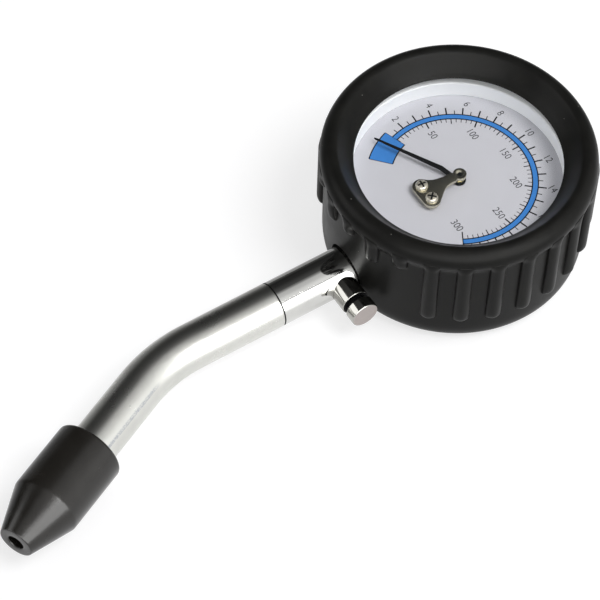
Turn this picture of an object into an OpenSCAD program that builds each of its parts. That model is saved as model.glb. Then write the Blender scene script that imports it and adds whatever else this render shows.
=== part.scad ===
// Push-on engine compression tester: dial gauge in a ribbed rubber boot,
// side release button, bent stem and rubber cone.
// The gauge lies on its flat back at z = 0. +Z leaves the dial, the stem leaves towards -Y
// (6 o'clock) and 3 o'clock is +X. Millimetres.

/* [Case] */
// Outer radius of the pressed steel case
case_r = 31.5; // [31:0.1:33]
// Wall of the case
case_wall = 1; // [0.8:0.1:1.2]
// Room inside the case behind the dial
case_room = 21.65; // [21.4:0.05:23]
// Thickness of the dial
dial_t = 0.8; // [0.5:0.1:1]
// Height of the white ring between the dial and the lens
inner_ring_h = 5.35; // [5:0.05:6.5]
// Thickness of the lens
lens_t = 1.75; // [1.5:0.05:2.5]
// Thickness of the lens gasket
gasket_t = 0.3; // [0.2:0.05:0.6]
// Wall of the bezel ring
bezel_t = 0.65; // [0.5:0.05:0.9]
// Height of the bezel ring's skirt
bezel_skirt = 6.4; // [4:0.2:8]

/* [Boot] */
// Rubber wall round the side of the case
boot_wall = 5.4; // [4.8:0.1:6.5]
// Rubber behind the case
boot_back_t = 2.5; // [2:0.1:2.9]
// Radius of the rounded back edge
boot_back_fillet = 4; // [2:0.5:4.5]
// How far the front lip stands out from the side
lip_stand = 1.5; // [1:0.1:2.5]
// Radius of the lip's rounded outside
lip_fillet = 4.6; // [4:0.1:5]
// Radius of the lip's crest
lip_crest = 2.2; // [1.6:0.1:2.8]
// Height of the lip's crest above the window's rim
lip_rise = 6.3; // [5:0.1:7.5]
// How far the lip covers the case inwards from its outside
rim_cover = 2.5; // [2.2:0.1:3]
// Number of places for grip ribs round the boot
rib_places = 26; // [20:1:30]
// Radius of a rib's round section
rib_r = 2.6; // [2:0.1:3]
// How far a rib stands out from the side
rib_stand = 1.85; // [1:0.05:2.2]
// Height of the ribs' lower ends above the back
rib_low = 11; // [9:0.5:14]
// Turn of the first long rib from 6 o'clock towards 3 o'clock
rib_turn = 44.5; // [43:0.5:46]

/* [Movement] */
// Sideways shift of the movement from the middle of the dial
movement_shift = 1.1; // [0:0.1:2]
// Module of the teeth
tooth_module = 0.35; // [0.34:0.005:0.36]
// Sweep of the pointer
pointer_sweep = 240; // [230:5:240]
// Length of the pointer from its axis
pointer_l = 27; // [24:0.5:28]
// Clock angle of the resting pointer, left of 12 o'clock
pointer_rest = 118; // [115:0.5:121]
// Thickness of the movement plates
plate_t = 1.5; // [1.2:0.1:1.8]
// Radius of the pointer's arbour
arbour_r = 0.75; // [0.6:0.05:0.8]
// Radius of the sector's arbour
sector_arbour_r = 1; // [0.8:0.05:1.1]
// Length of the sector's tail
tail_l = 4.5; // [4:0.1:5]
// Thickness of the sector
sector_t = 1.2; // [1:0.1:1.4]
// Radius of the link's pins
link_pin_r = 0.6; // [0.5:0.05:0.65]
// Thickness of the link
link_t = 0.6; // [0.5:0.1:0.8]
// Distance of the bridge's screws from the pointer's axis
bridge_reach = 11; // [10.5:0.5:12]
// Spacing of the bridge's screws
bridge_screw_gap = 5; // [4.6:0.2:6]
// Height of the bridge above the dial
bridge_h = 3.3; // [3.2:0.1:3.9]
// Height of the bridge's feet above the dial
foot_h = 2.2; // [2:0.1:2.4]
// Thickness of the bridge
bridge_arm_t = 1; // [0.8:0.1:1.2]

/* [Bourdon tube] */
// Room between the curved tube and the case round it
bourdon_room = 7.7; // [6.7:0.1:8.2]
// Thickness of the flattened tube
bourdon_t = 2.6; // [2.2:0.1:3]
// Height of the flattened tube
bourdon_h = 8; // [7:0.2:8.6]
// Wall of the flattened tube
bourdon_wall = 0.4; // [0.3:0.05:0.6]
// Clock angle of the link's pin on the tube's end below 3 o'clock, at half pressure
tip_angle = 5; // [3:0.5:8]
// Distance from the link's pin to the centre that the tube's end turns about
tip_swing_r = 20; // [18:0.5:22]

/* [Stem] */
// Outer radius of the connector and the bent tube
stem_r = 6.5; // [6.2:0.1:6.8]
// Height of the stem's axis above the back
stem_z = 10.3; // [10.2:0.1:10.8]
// Length of the connector outside the boot
connector_out = 23.3; // [21:0.1:28]
// Distance from the connector's end to the bend's corner
bend_out = 36.3; // [32:0.1:50]
// Angle of the bend towards 3 o'clock
bend_angle = 25; // [10:1:45]
// Radius of the bend along its middle
bend_r = 45; // [35:1:55]
// Wall of the bent tube
tube_wall = 1; // [0.8:0.1:1.5]
// Length of the connector's spigot inside the bent tube
spigot_l = 8; // [6:0.5:12]
// Radius of the pressure passage
passage_r = 1.5; // [1.2:0.1:1.7]
// Radius of the gauge's threaded stub
stub_r = 4.85; // [4.6:0.05:5]

/* [Release valve] */
// Distance of the button's axis outside the boot
button_out = 3.6; // [3.5:0.1:7]
// Radius of the collar and the button
button_r = 4.1; // [3.9:0.05:4.2]
// Distance of the collar's outer end from the stem's axis
collar_end = 11.4; // [10.8:0.1:12.5]
// Visible gap between collar and button, which is more than the button's travel
button_gap = 1.6; // [1.3:0.1:1.8]
// Length of the button's head
button_head = 3.5; // [3:0.1:5]
// Radius of the plunger's stem
plunger_r = 0.8; // [0.7:0.05:0.9]
// Wire radius of the release spring
release_wire_r = 0.2; // [0.15:0.01:0.22]

/* [Cone] */
// Radius of the rubber cone's straight part
cone_r = 9.75; // [9.5:0.05:10]
// Length of the rubber cone
cone_l = 34; // [32:0.5:40]
// Length of the cone's tapered end
cone_taper_l = 12.6; // [10:0.1:14]
// Radius of the cone's tip
cone_tip_r = 5.1; // [4.2:0.1:5.5]
// Radius of the bore in the tip
tip_bore_r = 2.35; // [2:0.05:2.8]
// Distance of the cone's rim from the bend's corner
cone_at = 32.8; // [30:0.2:40]
// Depth of the tube's end inside the cone
tube_in_cone = 13.4; // [11:0.2:14]

/* [Check valve] */
// Radius of the valve body's nose
nose_r = 3.6; // [3.4:0.05:3.8]
// Length of the valve body's nose
nose_l = 12.3; // [12:0.1:13]
// Radius of the chamber for the poppet
chamber_r = 2.5; // [2.4:0.05:2.7]
// Radius of the poppet's stem
poppet_stem_r = 0.6; // [0.5:0.05:0.7]
// Wire radius of the check valve's spring
check_wire_r = 0.2; // [0.15:0.01:0.25]

/* [Hidden] */
$fn = 72;

// Clearances
skin = 0.05;      // between pieces that are pressed or stacked together
running = 0.05;   // between a shaft and its bore, on the radius
free_gap = 0.3;   // between pieces that pass each other
cut = 1;          // how far a cut runs past the face it opens

// Heights of the gauge's stack
case_back = boot_back_t + skin;
case_floor = case_back + case_wall;
dial_back = case_floor + case_room;
dial_z = dial_back + dial_t;
lens_z = dial_z + inner_ring_h;
gasket_z = lens_z + skin + lens_t;
bezel_in_z = gasket_z + gasket_t;
rim_z = bezel_in_z + bezel_t + skin;
case_in_r = case_r - case_wall;
bourdon_r = case_in_r - bourdon_room - bourdon_t / 2;
dial_r = case_in_r - 4 * skin;
bezel_r = case_r + skin + bezel_t;
window_r = case_r - rim_cover;
inner_wall_r = window_r + 0.6;
cover_r = window_r + 0.9;
flange_t = 0.35;

// Boot outline
side_r = case_r + 2 * skin + boot_wall;
lip_r = side_r + lip_stand;
lip_z = rim_z + lip_rise - lip_crest - (lip_fillet - lip_crest) * sin(60);
rib_centre_r = side_r + rib_stand - rib_r;
rib_high = lip_z - 0.2;
rib_ends = [[36, rib_low], [22, rib_high - 6.3], [9, rib_high - 10], [0, rib_high - 5.7]];
rib_pitch = 360 / rib_places;
stem_opening_r = stem_r + 2 * skin;
button_at = side_r + button_out;
seam_at = side_r + connector_out;
bend_at = seam_at + bend_out;

// Gear train: the sector turns the pinion, and the Bourdon tube's end turns the sector.
// The sector is a slice of a wheel, five teeth each way from its middle.
pinion_teeth = 12;
sector_full_teeth = 84;
side_teeth = 5;
pinion_pitch_r = tooth_module * pinion_teeth / 2;
sector_pitch_r = tooth_module * sector_full_teeth / 2;
sector_sweep = pointer_sweep * pinion_teeth / sector_full_teeth;
sector_pitch_angle = 360 / sector_full_teeth;
mesh_turn = ((side_teeth - 1) * sector_pitch_angle - sector_sweep / 2) * sector_full_teeth / pinion_teeth;
arbour_at = [movement_shift, 0];
sector_way = -60;
sector_at = arbour_at + (pinion_pitch_r + sector_pitch_r) * [cos(sector_way), sin(sector_way)];
tip_mid = bourdon_r * [cos(tip_angle), -sin(tip_angle)];
to_tip = tip_mid - sector_at;
tip_dist = norm(to_tip);
tip_way = atan2(to_tip[1], to_tip[0]);
tail_mid_way = tip_way - acos(tail_l / tip_dist);
tail_way = tail_mid_way - sector_sweep / 2;
tail_at = sector_at + tail_l * [cos(tail_way), sin(tail_way)];
link_way = tail_mid_way + 90;
tip_travel = 2 * tail_l * sin(sector_sweep / 2);
tip_sweep = tip_travel / tip_swing_r * 180 / PI;
swing_at = tip_mid + tip_swing_r * [cos(link_way + 90), sin(link_way + 90)];
function turned(p, a) = [p[0] * cos(a) - p[1] * sin(a), p[0] * sin(a) + p[1] * cos(a)];
tip_at = swing_at + turned(tip_mid - swing_at, -tip_sweep / 2);
link_l = norm(tip_at - tail_at);
link_rest_way = atan2(tail_at[1] - tip_at[1], tail_at[0] - tip_at[0]);

// Heights of the movement
socket_low = case_floor + skin;
bourdon_low = socket_low + 1;
back_plate_z = bourdon_low + bourdon_h + 0.4;
back_plate_top = back_plate_z + plate_t;
front_plate_z = dial_back - plate_t;
plate_gap = front_plate_z - back_plate_top;
sector_z = back_plate_top + 1.5;
link_z = sector_z + sector_t + free_gap;
pin_top = link_z + link_t + free_gap;
pinion_z = sector_z - 0.6;
pinion_l = sector_t + 1.2;
spring_z = pinion_z + pinion_l + 1;
bridge_top = dial_z + bridge_h;
bridge_arm_z = bridge_top - bridge_arm_t;
foot_top = dial_z + foot_h;
pad_z = foot_top - bridge_arm_t;
post_r = 1.75;
boss_r = 1.9;
foot_r = 2.6;
foot_x = bridge_screw_gap / 2;
edge_in = 0.06;     // how far straight sides stand in from the round corners that they join
// Half of the bridge's outline from the boss to the feet: distance from the arbour, half width
bridge_side = [[0.8, 1.7], [4.6, 1.5], [bridge_reach - 5.2, 1.65], [bridge_reach - 3.7, foot_x - 0.2],
    [bridge_reach - 2.1, foot_x + 0.7], [bridge_reach, foot_x + foot_r - edge_in]];
arm_end = 0.8;
slope_high = 5.2;   // the bridge slopes down to its feet between these distances from the arbour
slope_low = bridge_reach - foot_r - 0.3;
screw_slot = [2.1, 0.4, 1.1];
pointer_t = 0.4;
pointer_w = 1.4;    // the pointer's width at its crank, at its hub and near its tip
pointer_hub_w = 1.5;
pointer_tip_w = 0.48;
pointer_point_l = 0.6;
crank_rise = 1.4;
crank_lean = 0.1;
pointer_low_z = dial_z + 0.4;
pointer_high_z = pointer_low_z + crank_rise;
hub_r = 1.5;
hub_plate_r = 1.9;
hub_flange = 0.4;
hub_spigot_r = 1.1;
hair_in_r = 1.5;
hair_pitch = 0.6;
hair_turns = 5;
hair_t = 0.16;
hair_h = 1;
hub_z = pointer_low_z - 0.35;
hub_top = bridge_arm_z - 0.5;
crank_in = 2.3;
crank_out = 5.8;
bridge_pivot_r = 0.5;
screw_r = 1;
screw_head_r = 1.8;
screw_head_h = 1.4;
thread_gap = 0.03;
pillar_r = 1.5;
plate_edge = 3.2;   // from a pillar's axis to the plates' edge
low_pillar = [-6.5, -19];
side_pillar = [-7.5, -5];
top_pillar = [6.5, 4.5];
pillars_at = [low_pillar, side_pillar, top_pillar];

// Socket and Bourdon tube
socket_w = 14;
socket_front = case_in_r - 1;
socket_back = bourdon_r - 6.5;
socket_top = back_plate_z;
stem_way = -90;
tube_grip = 5;      // degrees of the tube's start that are soldered into the socket
bourdon_start = stem_way - asin(socket_w / 2 / bourdon_r) + tube_grip;
block_gap = 0.3;    // degrees between the tube's far end and its end block
block_turn = 6;
block_sweep = 20;
bourdon_end = block_turn - 360;
valve_chamber_r = 2.6;
chamber_wall = 0.8;
stub_end = button_at - valve_chamber_r - chamber_wall;
stub_bore_r = passage_r - 0.25;
connector_start = case_r + 0.8;
socket_screw_r = 1.25;
socket_screws_at = [for (side = [-1, 1]) [side * (socket_w / 2 - 2.8), 3.5 - socket_front]];
plate_screws_at = [for (side = [-1, 1]) [side * (socket_w / 2 - 2.5), 4 - socket_front]];

// Release valve, along +X from the stem's axis
seat_x = 2.7;
spot_face_x = stem_r - 1.5;
collar_spigot_r = 3;
collar_bore_r = 2.85;
spring_seat_x = collar_end - 4.7;
cap_boss_r = collar_bore_r - running;
cap_boss_x = collar_end - 1.2;
cap_x = collar_end + button_gap;
cap_end = cap_x + button_head;
plunger_end = cap_x + 0.7;
seal_t = 1;
seal_x = seat_x - skin - seal_t;
head_t = 0.8;
plunger_head_r = 2;
chamber_x = -3;

// Bent tube and cone
tube_in_r = stem_r - tube_wall;
bend_reach = bend_r * tan(bend_angle / 2);
tube_end = cone_at + tube_in_cone;
flange_h = 1.5;
nose_at = tube_end + skin + flange_h;
nose_end = nose_at + nose_l;
valve_seat = nose_end - 3.2;
insert_l = 6;
retainer_z = tube_end + 2.8;
retainer_t = 1.2;
poppet_seal_t = 0.75;
poppet_head_t = 1;
poppet_head_r = chamber_r - 0.4;
poppet_head_z = valve_seat - skin - poppet_seal_t - poppet_head_t;
poppet_stem_z = retainer_z - 1.5;

// Points on an arc round a centre
function arc(centre, r, from, to, steps) =
    [for (i = [0:steps]) let (a = from + (to - from) * i / steps) centre + r * [cos(a), sin(a)]];

// Involute tooth: half of its angle at a radius
function inv(a) = tan(a) - a * PI / 180;
function half_angle(r, base_r, mid) = mid + (inv(20) - inv(acos(min(1, base_r / r)))) * 180 / PI;
backlash_share = 0.12;
function tooth(teeth, root_r, tip_r) =
    let (pitch_r = tooth_module * teeth / 2)
    let (base_r = pitch_r * cos(20))
    let (low_r = max(base_r, root_r))
    let (mid = 90 / teeth * (1 - backlash_share))
    let (radii = [for (i = [0:3]) low_r + (tip_r - low_r) * i / 3])
    let (halves = [for (r = radii) half_angle(r, base_r, mid)])
    let (right = [for (i = [0:3]) radii[i] * [cos(halves[i]), -sin(halves[i])]])
    let (left = [for (i = [3:-1:0]) radii[i] * [cos(halves[i]), sin(halves[i])]])
    let (foot = half_angle(low_r, base_r, mid))
    concat([root_r * [cos(-foot), sin(-foot)]], right, left, [root_r * [cos(foot), sin(foot)]]);

// A round wire wound along +Z
module coil(r, wire_r, h, turns) {
    sides = 6;
    rings = 12 * turns;
    rise = (h - 2 * wire_r);
    slope = atan2(rise, 2 * PI * r * turns);
    points = [for (i = [0:rings], j = [0:sides - 1])
        let (a = 360 * turns * i / rings)
        let (b = 360 * j / sides)
        let (out = r + wire_r * cos(b))
        [out * cos(a) + wire_r * sin(b) * sin(slope) * sin(a),
            out * sin(a) - wire_r * sin(b) * sin(slope) * cos(a),
            wire_r + rise * i / rings + wire_r * sin(b) * cos(slope)]];
    walls = [for (i = [0:rings - 1], j = [0:sides - 1], k = [0, 1])
        let (a = i * sides + j)
        let (b = i * sides + (j + 1) % sides)
        k == 0 ? [a, a + sides, b + sides] : [a, b + sides, b]];
    first = [for (j = [0:sides - 1]) j];
    last = [for (j = [sides - 1:-1:0]) rings * sides + j];
    polyhedron(points, concat(walls, [first], [last]));
}

// Frames of the stem's pieces
module along_stem(y) { translate([0, -y, stem_z]) rotate([90, 0, 0]) children(); }
module along_button(x) { translate([x, -button_at, stem_z]) rotate([0, 90, 0]) children(); }
module past_bend(s) {
    translate([0, -bend_at, stem_z]) rotate([0, 0, bend_angle]) translate([0, -s, 0]) rotate([90, 0, 0])
        children();
}
module at_arbour() { translate([arbour_at[0], arbour_at[1], 0]) children(); }
module ring(outer, inner, h) {
    difference() {
        cylinder(r = outer, h = h);
        translate([0, 0, -cut]) cylinder(r = inner, h = h + 2 * cut);
    }
}

// Boot: a lathe-turned shell with grip ribs, short ones round the stem
module boot_section() {
    lip_centre = [lip_r - lip_fillet, lip_z];
    crest_centre = lip_centre + (lip_fillet - lip_crest) * [cos(60), sin(60)];
    join_z = lip_z - sqrt(lip_fillet * lip_fillet - pow(side_r - lip_centre[0], 2));
    crest_way = 142;
    polygon(concat(
        [[0, 0]],
        arc([side_r - boot_back_fillet, boot_back_fillet], boot_back_fillet, -90, 0, 8),
        [[side_r, join_z]],
        arc(lip_centre, lip_fillet, asin((join_z - lip_z) / lip_fillet) + 4, 56, 12),
        arc(crest_centre, lip_crest, 60, crest_way, 8),
        [[window_r + 0.15, rim_z + 0.5], [window_r, rim_z + 0.3], [window_r, rim_z],
            [bezel_r + skin, rim_z], [bezel_r + skin, rim_z - bezel_skirt - 2 * skin],
            [case_r + 2 * skin, rim_z - bezel_skirt - 2 * skin], [case_r + 2 * skin, boot_back_t],
            [0, boot_back_t]]));
}
module rib(low, high) {
    translate([0, 0, low + rib_r]) cylinder(r = rib_r, h = high - low - 2 * rib_r);
    translate([0, 0, low + rib_r]) sphere(r = rib_r);
    translate([0, 0, high - rib_r]) sphere(r = rib_r);
}
function turn_of(i) = rib_turn + i * rib_pitch;
function from_stem(i) = min(turn_of(i) % 360, 360 - turn_of(i) % 360);
// Lower end of a rib by its turn from the stem: the ribs over the stem are short
function rib_end(a) = [for (e = rib_ends) if (a > e[0] || e[0] == 0) e[1]][0];
module rubber_boot() {
    color([0.08, 0.08, 0.08]) difference() {
        union() {
            rotate_extrude() boot_section();
            intersection() {
                union() for (i = [0:rib_places - 1])
                    rotate([0, 0, -90 + turn_of(i)]) translate([rib_centre_r, 0, 0])
                        rib(rib_end(from_stem(i)), rib_high);
                difference() {
                    cylinder(r = lip_r + rib_r, h = rim_z + lip_rise);
                    translate([0, 0, -cut]) cylinder(r = case_r + 2, h = rim_z + lip_rise + 2 * cut);
                }
            }
        }
        along_stem(case_r - 2) cylinder(r = stem_opening_r, h = boot_wall + 6);
        along_stem(side_r - 2) cylinder(r1 = stem_opening_r, r2 = stem_opening_r + 2, h = 4);
    }
}

// Case, bezel and window
module gauge_case() {
    color([0.12, 0.12, 0.13]) difference() {
        translate([0, 0, case_back]) cylinder(r = case_r, h = lens_z - flange_t - case_back);
        translate([0, 0, case_floor]) cylinder(r = case_in_r, h = lens_z);
        along_stem(socket_front - cut) cylinder(r = stub_r + 3 * skin, h = case_wall + 4);
        for (p = socket_screws_at) translate([p[0], p[1], case_back - cut]) {
            cylinder(r = socket_screw_r + skin, h = case_wall + 2 * cut);
            cylinder(r = 2 * socket_screw_r, h = 0.75 * case_wall + cut);
        }
    }
}
module bezel_ring() {
    color([0.1, 0.1, 0.11]) translate([0, 0, rim_z - skin]) mirror([0, 0, 1]) {
        ring(bezel_r, cover_r, bezel_t);
        ring(bezel_r, case_r + skin, bezel_skirt);
    }
}
module lens_gasket() {
    color([0.85, 0.85, 0.83]) translate([0, 0, gasket_z]) ring(case_r - skin, cover_r, gasket_t);
}
module lens() {
    color([0.9, 0.95, 1, 0.3]) translate([0, 0, lens_z + skin])
        cylinder(r = case_r - skin, h = lens_t - skin);
}
module inner_ring() {
    color([0.95, 0.95, 0.93]) {
        translate([0, 0, dial_z]) ring(case_in_r - skin, inner_wall_r, inner_ring_h);
        translate([0, 0, lens_z - flange_t]) ring(case_r - skin, inner_wall_r, flange_t);
    }
}

// Dial and what stands in front of it
function bridge_screw_at(side) = [movement_shift + side * bridge_screw_gap / 2, -bridge_reach];
module dial_plate() {
    color([0.8, 0.8, 0.84]) translate([0, 0, dial_back]) difference() {
        cylinder(r = dial_r, h = dial_t);
        at_arbour() translate([0, 0, -cut]) cylinder(r = hub_r + free_gap, h = dial_t + 2 * cut);
        for (side = [-1, 1]) translate(concat(bridge_screw_at(side), [-cut]))
            cylinder(r = screw_r + 2 * skin, h = dial_t + 2 * cut);
    }
}
module bridge_outline() {
    polygon(concat([for (p = bridge_side) [p[1], -p[0]]],
        [for (i = [len(bridge_side) - 1:-1:0]) [-bridge_side[i][1], -bridge_side[i][0]]]));
}
module bridge_leg() {
    intersection() {
        translate([0, 0, dial_z]) linear_extrude(bridge_h + cut) bridge_outline();
        rotate([90, 0, 90]) translate([0, 0, -foot_x - foot_r]) linear_extrude(2 * (foot_x + foot_r))
            polygon([[-bridge_reach, pad_z], [-slope_low, pad_z], [-slope_high, bridge_arm_z],
                [-arm_end, bridge_arm_z], [-arm_end, bridge_top], [-slope_high, bridge_top],
                [-slope_low, foot_top], [-bridge_reach, foot_top]]);
    }
}
module front_bridge() {
    color([0.5, 0.5, 0.48]) at_arbour() difference() {
        union() {
            bridge_leg();
            translate([0, 0, bridge_arm_z]) cylinder(r = boss_r, h = bridge_arm_t);
            translate([-foot_x, edge_in - bridge_reach - foot_r, pad_z])
                cube([bridge_screw_gap, foot_r, bridge_arm_t]);
            for (side = [-1, 1]) translate([side * foot_x, -bridge_reach, 0]) {
                translate([0, 0, pad_z]) cylinder(r = foot_r, h = bridge_arm_t);
                translate([0, 0, dial_z]) cylinder(r = post_r, h = foot_h);
            }
        }
        translate([0, 0, bridge_arm_z - cut])
            cylinder(r = bridge_pivot_r + running, h = bridge_arm_t + 2 * cut);
        for (side = [-1, 1]) translate([side * foot_x, -bridge_reach, dial_z - cut])
            cylinder(r = screw_r + 2 * skin, h = foot_h + 2 * cut);
    }
}
module bridge_screws() {
    color([0.75, 0.74, 0.7]) for (side = [-1, 1]) translate(concat(bridge_screw_at(side), [0])) {
        translate([0, 0, front_plate_z + 0.2]) cylinder(r = screw_r, h = foot_top - front_plate_z + 0.3);
        translate([0, 0, foot_top]) difference() {
            cylinder(r = screw_head_r, h = screw_head_h);
            for (a = [20, 110]) translate([0, 0, screw_head_h]) rotate([0, 0, a + 25 * side])
                cube(screw_slot, center = true);
        }
    }
}

// Pointer, cranked up just outside its hub, at rest on zero
module pointer_way() { at_arbour() rotate([0, 0, 90 + pointer_rest]) children(); }
module pointer() {
    color([0.03, 0.03, 0.03]) pointer_way() {
        translate([0, 0, pointer_low_z]) difference() {
            union() {
                cylinder(r = hub_plate_r, h = pointer_t);
                translate([0, -pointer_hub_w / 2, 0]) cube([crank_in, pointer_hub_w, pointer_t]);
            }
            translate([0, 0, -cut]) cylinder(r = hub_spigot_r + skin, h = pointer_t + 2 * cut);
        }
        rotate([90, 0, 0]) translate([0, 0, -pointer_w / 2]) linear_extrude(pointer_w)
            polygon([[crank_in - 2 * crank_lean, pointer_low_z], [crank_in, pointer_low_z],
                [crank_out, pointer_high_z], [crank_out + crank_lean, pointer_high_z],
                [crank_out + crank_lean, pointer_high_z + pointer_t],
                [crank_out - crank_lean, pointer_high_z + pointer_t],
                [crank_in - 2 * crank_lean, pointer_low_z + pointer_t]]);
        translate([0, 0, pointer_high_z]) linear_extrude(pointer_t)
            polygon([[crank_out, -pointer_w / 2], [pointer_l - pointer_point_l, -pointer_tip_w / 2],
                [pointer_l, 0], [pointer_l - pointer_point_l, pointer_tip_w / 2],
                [crank_out, pointer_w / 2]]);
    }
}
module pointer_hub() {
    color([0.78, 0.76, 0.6]) at_arbour() difference() {
        union() {
            translate([0, 0, hub_z]) cylinder(r = hub_r, h = pointer_low_z - skin - hub_z);
            translate([0, 0, pointer_low_z + pointer_t + skin]) cylinder(r = hub_r, h = hub_flange);
            translate([0, 0, hub_z]) cylinder(r = hub_spigot_r, h = hub_top - hub_z);
        }
        translate([0, 0, hub_z - cut]) cylinder(r = arbour_r + skin / 2, h = hub_top - hub_z + 2 * cut);
    }
}
module pointer_arbour() {
    color([0.7, 0.7, 0.68]) at_arbour() {
        translate([0, 0, back_plate_z + free_gap])
            cylinder(r = arbour_r, h = bridge_arm_z - back_plate_z - 2 * free_gap);
        translate([0, 0, bridge_arm_z - free_gap - 0.1])
            cylinder(r = bridge_pivot_r, h = bridge_arm_t + free_gap + 0.1);
        translate([0, 0, spring_z - 0.3]) cylinder(r = hair_in_r - hair_t / 2 - skin, h = hair_h + 0.6);
        translate([0, 0, pinion_z]) linear_extrude(pinion_l)
            rotate(sector_way + 180 / pinion_teeth - mesh_turn) pinion_outline();
    }
}
module pinion_outline() {
    root_r = pinion_pitch_r - 1.1 * tooth_module;
    circle(r = root_r + 0.01);
    for (i = [0:pinion_teeth - 1]) rotate([0, 0, 360 * i / pinion_teeth])
        polygon(concat([[0, 0]], tooth(pinion_teeth, root_r, pinion_pitch_r + 0.8 * tooth_module)));
}
function hair_r(a) = hair_in_r + hair_pitch * a / 360;
function hair_side(r_off) =
    [for (i = [0:24 * hair_turns]) let (a = 15 * i) (hair_r(a) + r_off) * [cos(a), sin(a)]];
module hairspring() {
    out_side = hair_side(hair_t / 2);
    in_side = hair_side(-hair_t / 2);
    color([0.72, 0.6, 0.35]) at_arbour() translate([0, 0, spring_z]) linear_extrude(hair_h)
        polygon(concat(out_side, [for (i = [len(in_side) - 1:-1:0]) in_side[i]]));
}
module hairspring_stud() {
    stud_r = 0.6;
    color([0.8, 0.68, 0.35]) at_arbour()
        translate([hair_r(360 * hair_turns) + hair_t / 2 + stud_r + skin, 0, spring_z - 0.3])
        cylinder(r = stud_r, h = front_plate_z - spring_z + 0.3);
}

// Movement plates: the shape round the pillars and the sector's arbour, with round corners
module rounded_outline(points, r) {
    polygon(points);
    for (i = [0:len(points) - 1]) {
        side = points[(i + 1) % len(points)] - points[i];
        translate(points[i]) {
            circle(r = r);
            rotate(atan2(side[1], side[0])) translate([0, edge_in - r])
                square([norm(side), 2 * (r - edge_in)]);
        }
    }
}
module plate_outline() {
    rounded_outline([low_pillar, sector_at, top_pillar, side_pillar], plate_edge);
}
module plate_holes(sector_hole_r, arbour_hole_r) {
    at_arbour() circle(r = arbour_hole_r);
    translate(sector_at) circle(r = sector_hole_r);
}
module front_plate() {
    color([0.8, 0.68, 0.35]) translate([0, 0, front_plate_z]) linear_extrude(plate_t) difference() {
        plate_outline();
        plate_holes(sector_arbour_r + running, arbour_r + running);
        for (side = [-1, 1]) translate(bridge_screw_at(side)) circle(r = screw_r + thread_gap);
    }
}
module back_plate() {
    color([0.8, 0.68, 0.35]) translate([0, 0, back_plate_z]) linear_extrude(plate_t) difference() {
        union() {
            plate_outline();
            translate([-socket_w / 2, 1.5 - socket_front])
                square([socket_w, socket_front - 1.5 - socket_back]);
        }
        plate_holes(sector_arbour_r + running, arbour_r + running);
        for (p = plate_screws_at) translate(p) circle(r = screw_r + 2 * skin);
        for (p = pillars_at) translate(p) circle(r = screw_r + thread_gap);
    }
}
module plate_pillars() {
    color([0.8, 0.68, 0.35]) for (p = pillars_at) translate([p[0], p[1], back_plate_z + 0.2]) {
        cylinder(r = screw_r, h = plate_t);
        translate([0, 0, plate_t - 0.2]) cylinder(r = pillar_r, h = plate_gap);
    }
}
module plate_screws() {
    color([0.75, 0.74, 0.7]) for (p = plate_screws_at) translate([p[0], p[1], 0]) {
        translate([0, 0, socket_top - 3]) cylinder(r = screw_r, h = 3 + plate_t + 0.1);
        translate([0, 0, back_plate_top]) difference() {
            cylinder(r = screw_head_r, h = screw_head_h);
            translate([0, 0, screw_head_h]) cube([2 * screw_head_r + cut, 0.45, 0.8], center = true);
        }
    }
}

// Sector, its arbour and the link to the Bourdon tube's end
module sector_gear() {
    root_r = sector_pitch_r - 1.2 * tooth_module;
    rim_half = (side_teeth + 0.5) * sector_pitch_angle;
    facing = sector_way + 180 - sector_sweep / 2;
    tail_wide = 1.3;
    color([0.82, 0.7, 0.38]) translate([sector_at[0], sector_at[1], sector_z])
        linear_extrude(sector_t) difference() {
        union() {
            rotate(facing) {
                polygon(concat([[0, 0]], arc([0, 0], root_r + 0.02, -rim_half, rim_half, 16)));
                for (k = [-side_teeth:side_teeth]) rotate(k * sector_pitch_angle)
                    polygon(concat([[root_r - 1, 0]],
                        tooth(sector_full_teeth, root_r, sector_pitch_r + 0.7 * tooth_module)));
            }
            circle(r = 2.6);
            rotate(tail_way) translate([0, -tail_wide]) square([tail_l, 2 * tail_wide]);
            rotate(tail_way) translate([tail_l, 0]) circle(r = tail_wide);
        }
        circle(r = sector_arbour_r + skin / 2);
        rotate(tail_way) translate([tail_l, 0]) circle(r = link_pin_r + skin / 2);
        rotate(facing) polygon(concat(arc([0, 0], root_r - 2, -rim_half + 8, rim_half - 8, 8),
            arc([0, 0], 6, rim_half - 11, -rim_half + 11, 6)));
    }
}
module sector_arbour() {
    color([0.7, 0.7, 0.68]) translate([sector_at[0], sector_at[1], back_plate_z + 0.3])
        cylinder(r = sector_arbour_r, h = 2 * plate_t + plate_gap - 0.6);
}
module tail_pin() {
    color([0.7, 0.7, 0.68]) translate([tail_at[0], tail_at[1], sector_z])
        cylinder(r = link_pin_r, h = pin_top - sector_z);
}
module link() {
    eye_r = link_pin_r + 0.8;
    color([0.75, 0.75, 0.72]) translate([tip_at[0], tip_at[1], link_z]) rotate([0, 0, link_rest_way])
        linear_extrude(link_t) difference() {
            union() {
                circle(r = eye_r);
                translate([link_l, 0]) circle(r = eye_r);
                translate([0, -0.7]) square([link_l, 1.4]);
            }
            circle(r = link_pin_r + running);
            translate([link_l, 0]) circle(r = link_pin_r + 0.22);
        }
}
module tip_block() {
    depth = bourdon_t + 0.6;
    color([0.82, 0.7, 0.38]) translate([0, 0, bourdon_low]) difference() {
        rotate([0, 0, block_turn - block_sweep]) rotate_extrude(angle = block_sweep - block_gap)
            translate([bourdon_r - depth / 2 - 0.6, 0])
            square([depth + 0.6, bourdon_h]);
        translate([tip_at[0], tip_at[1], -cut])
            cylinder(r = link_pin_r + skin / 2, h = bourdon_h + 2 * cut);
    }
}
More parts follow.
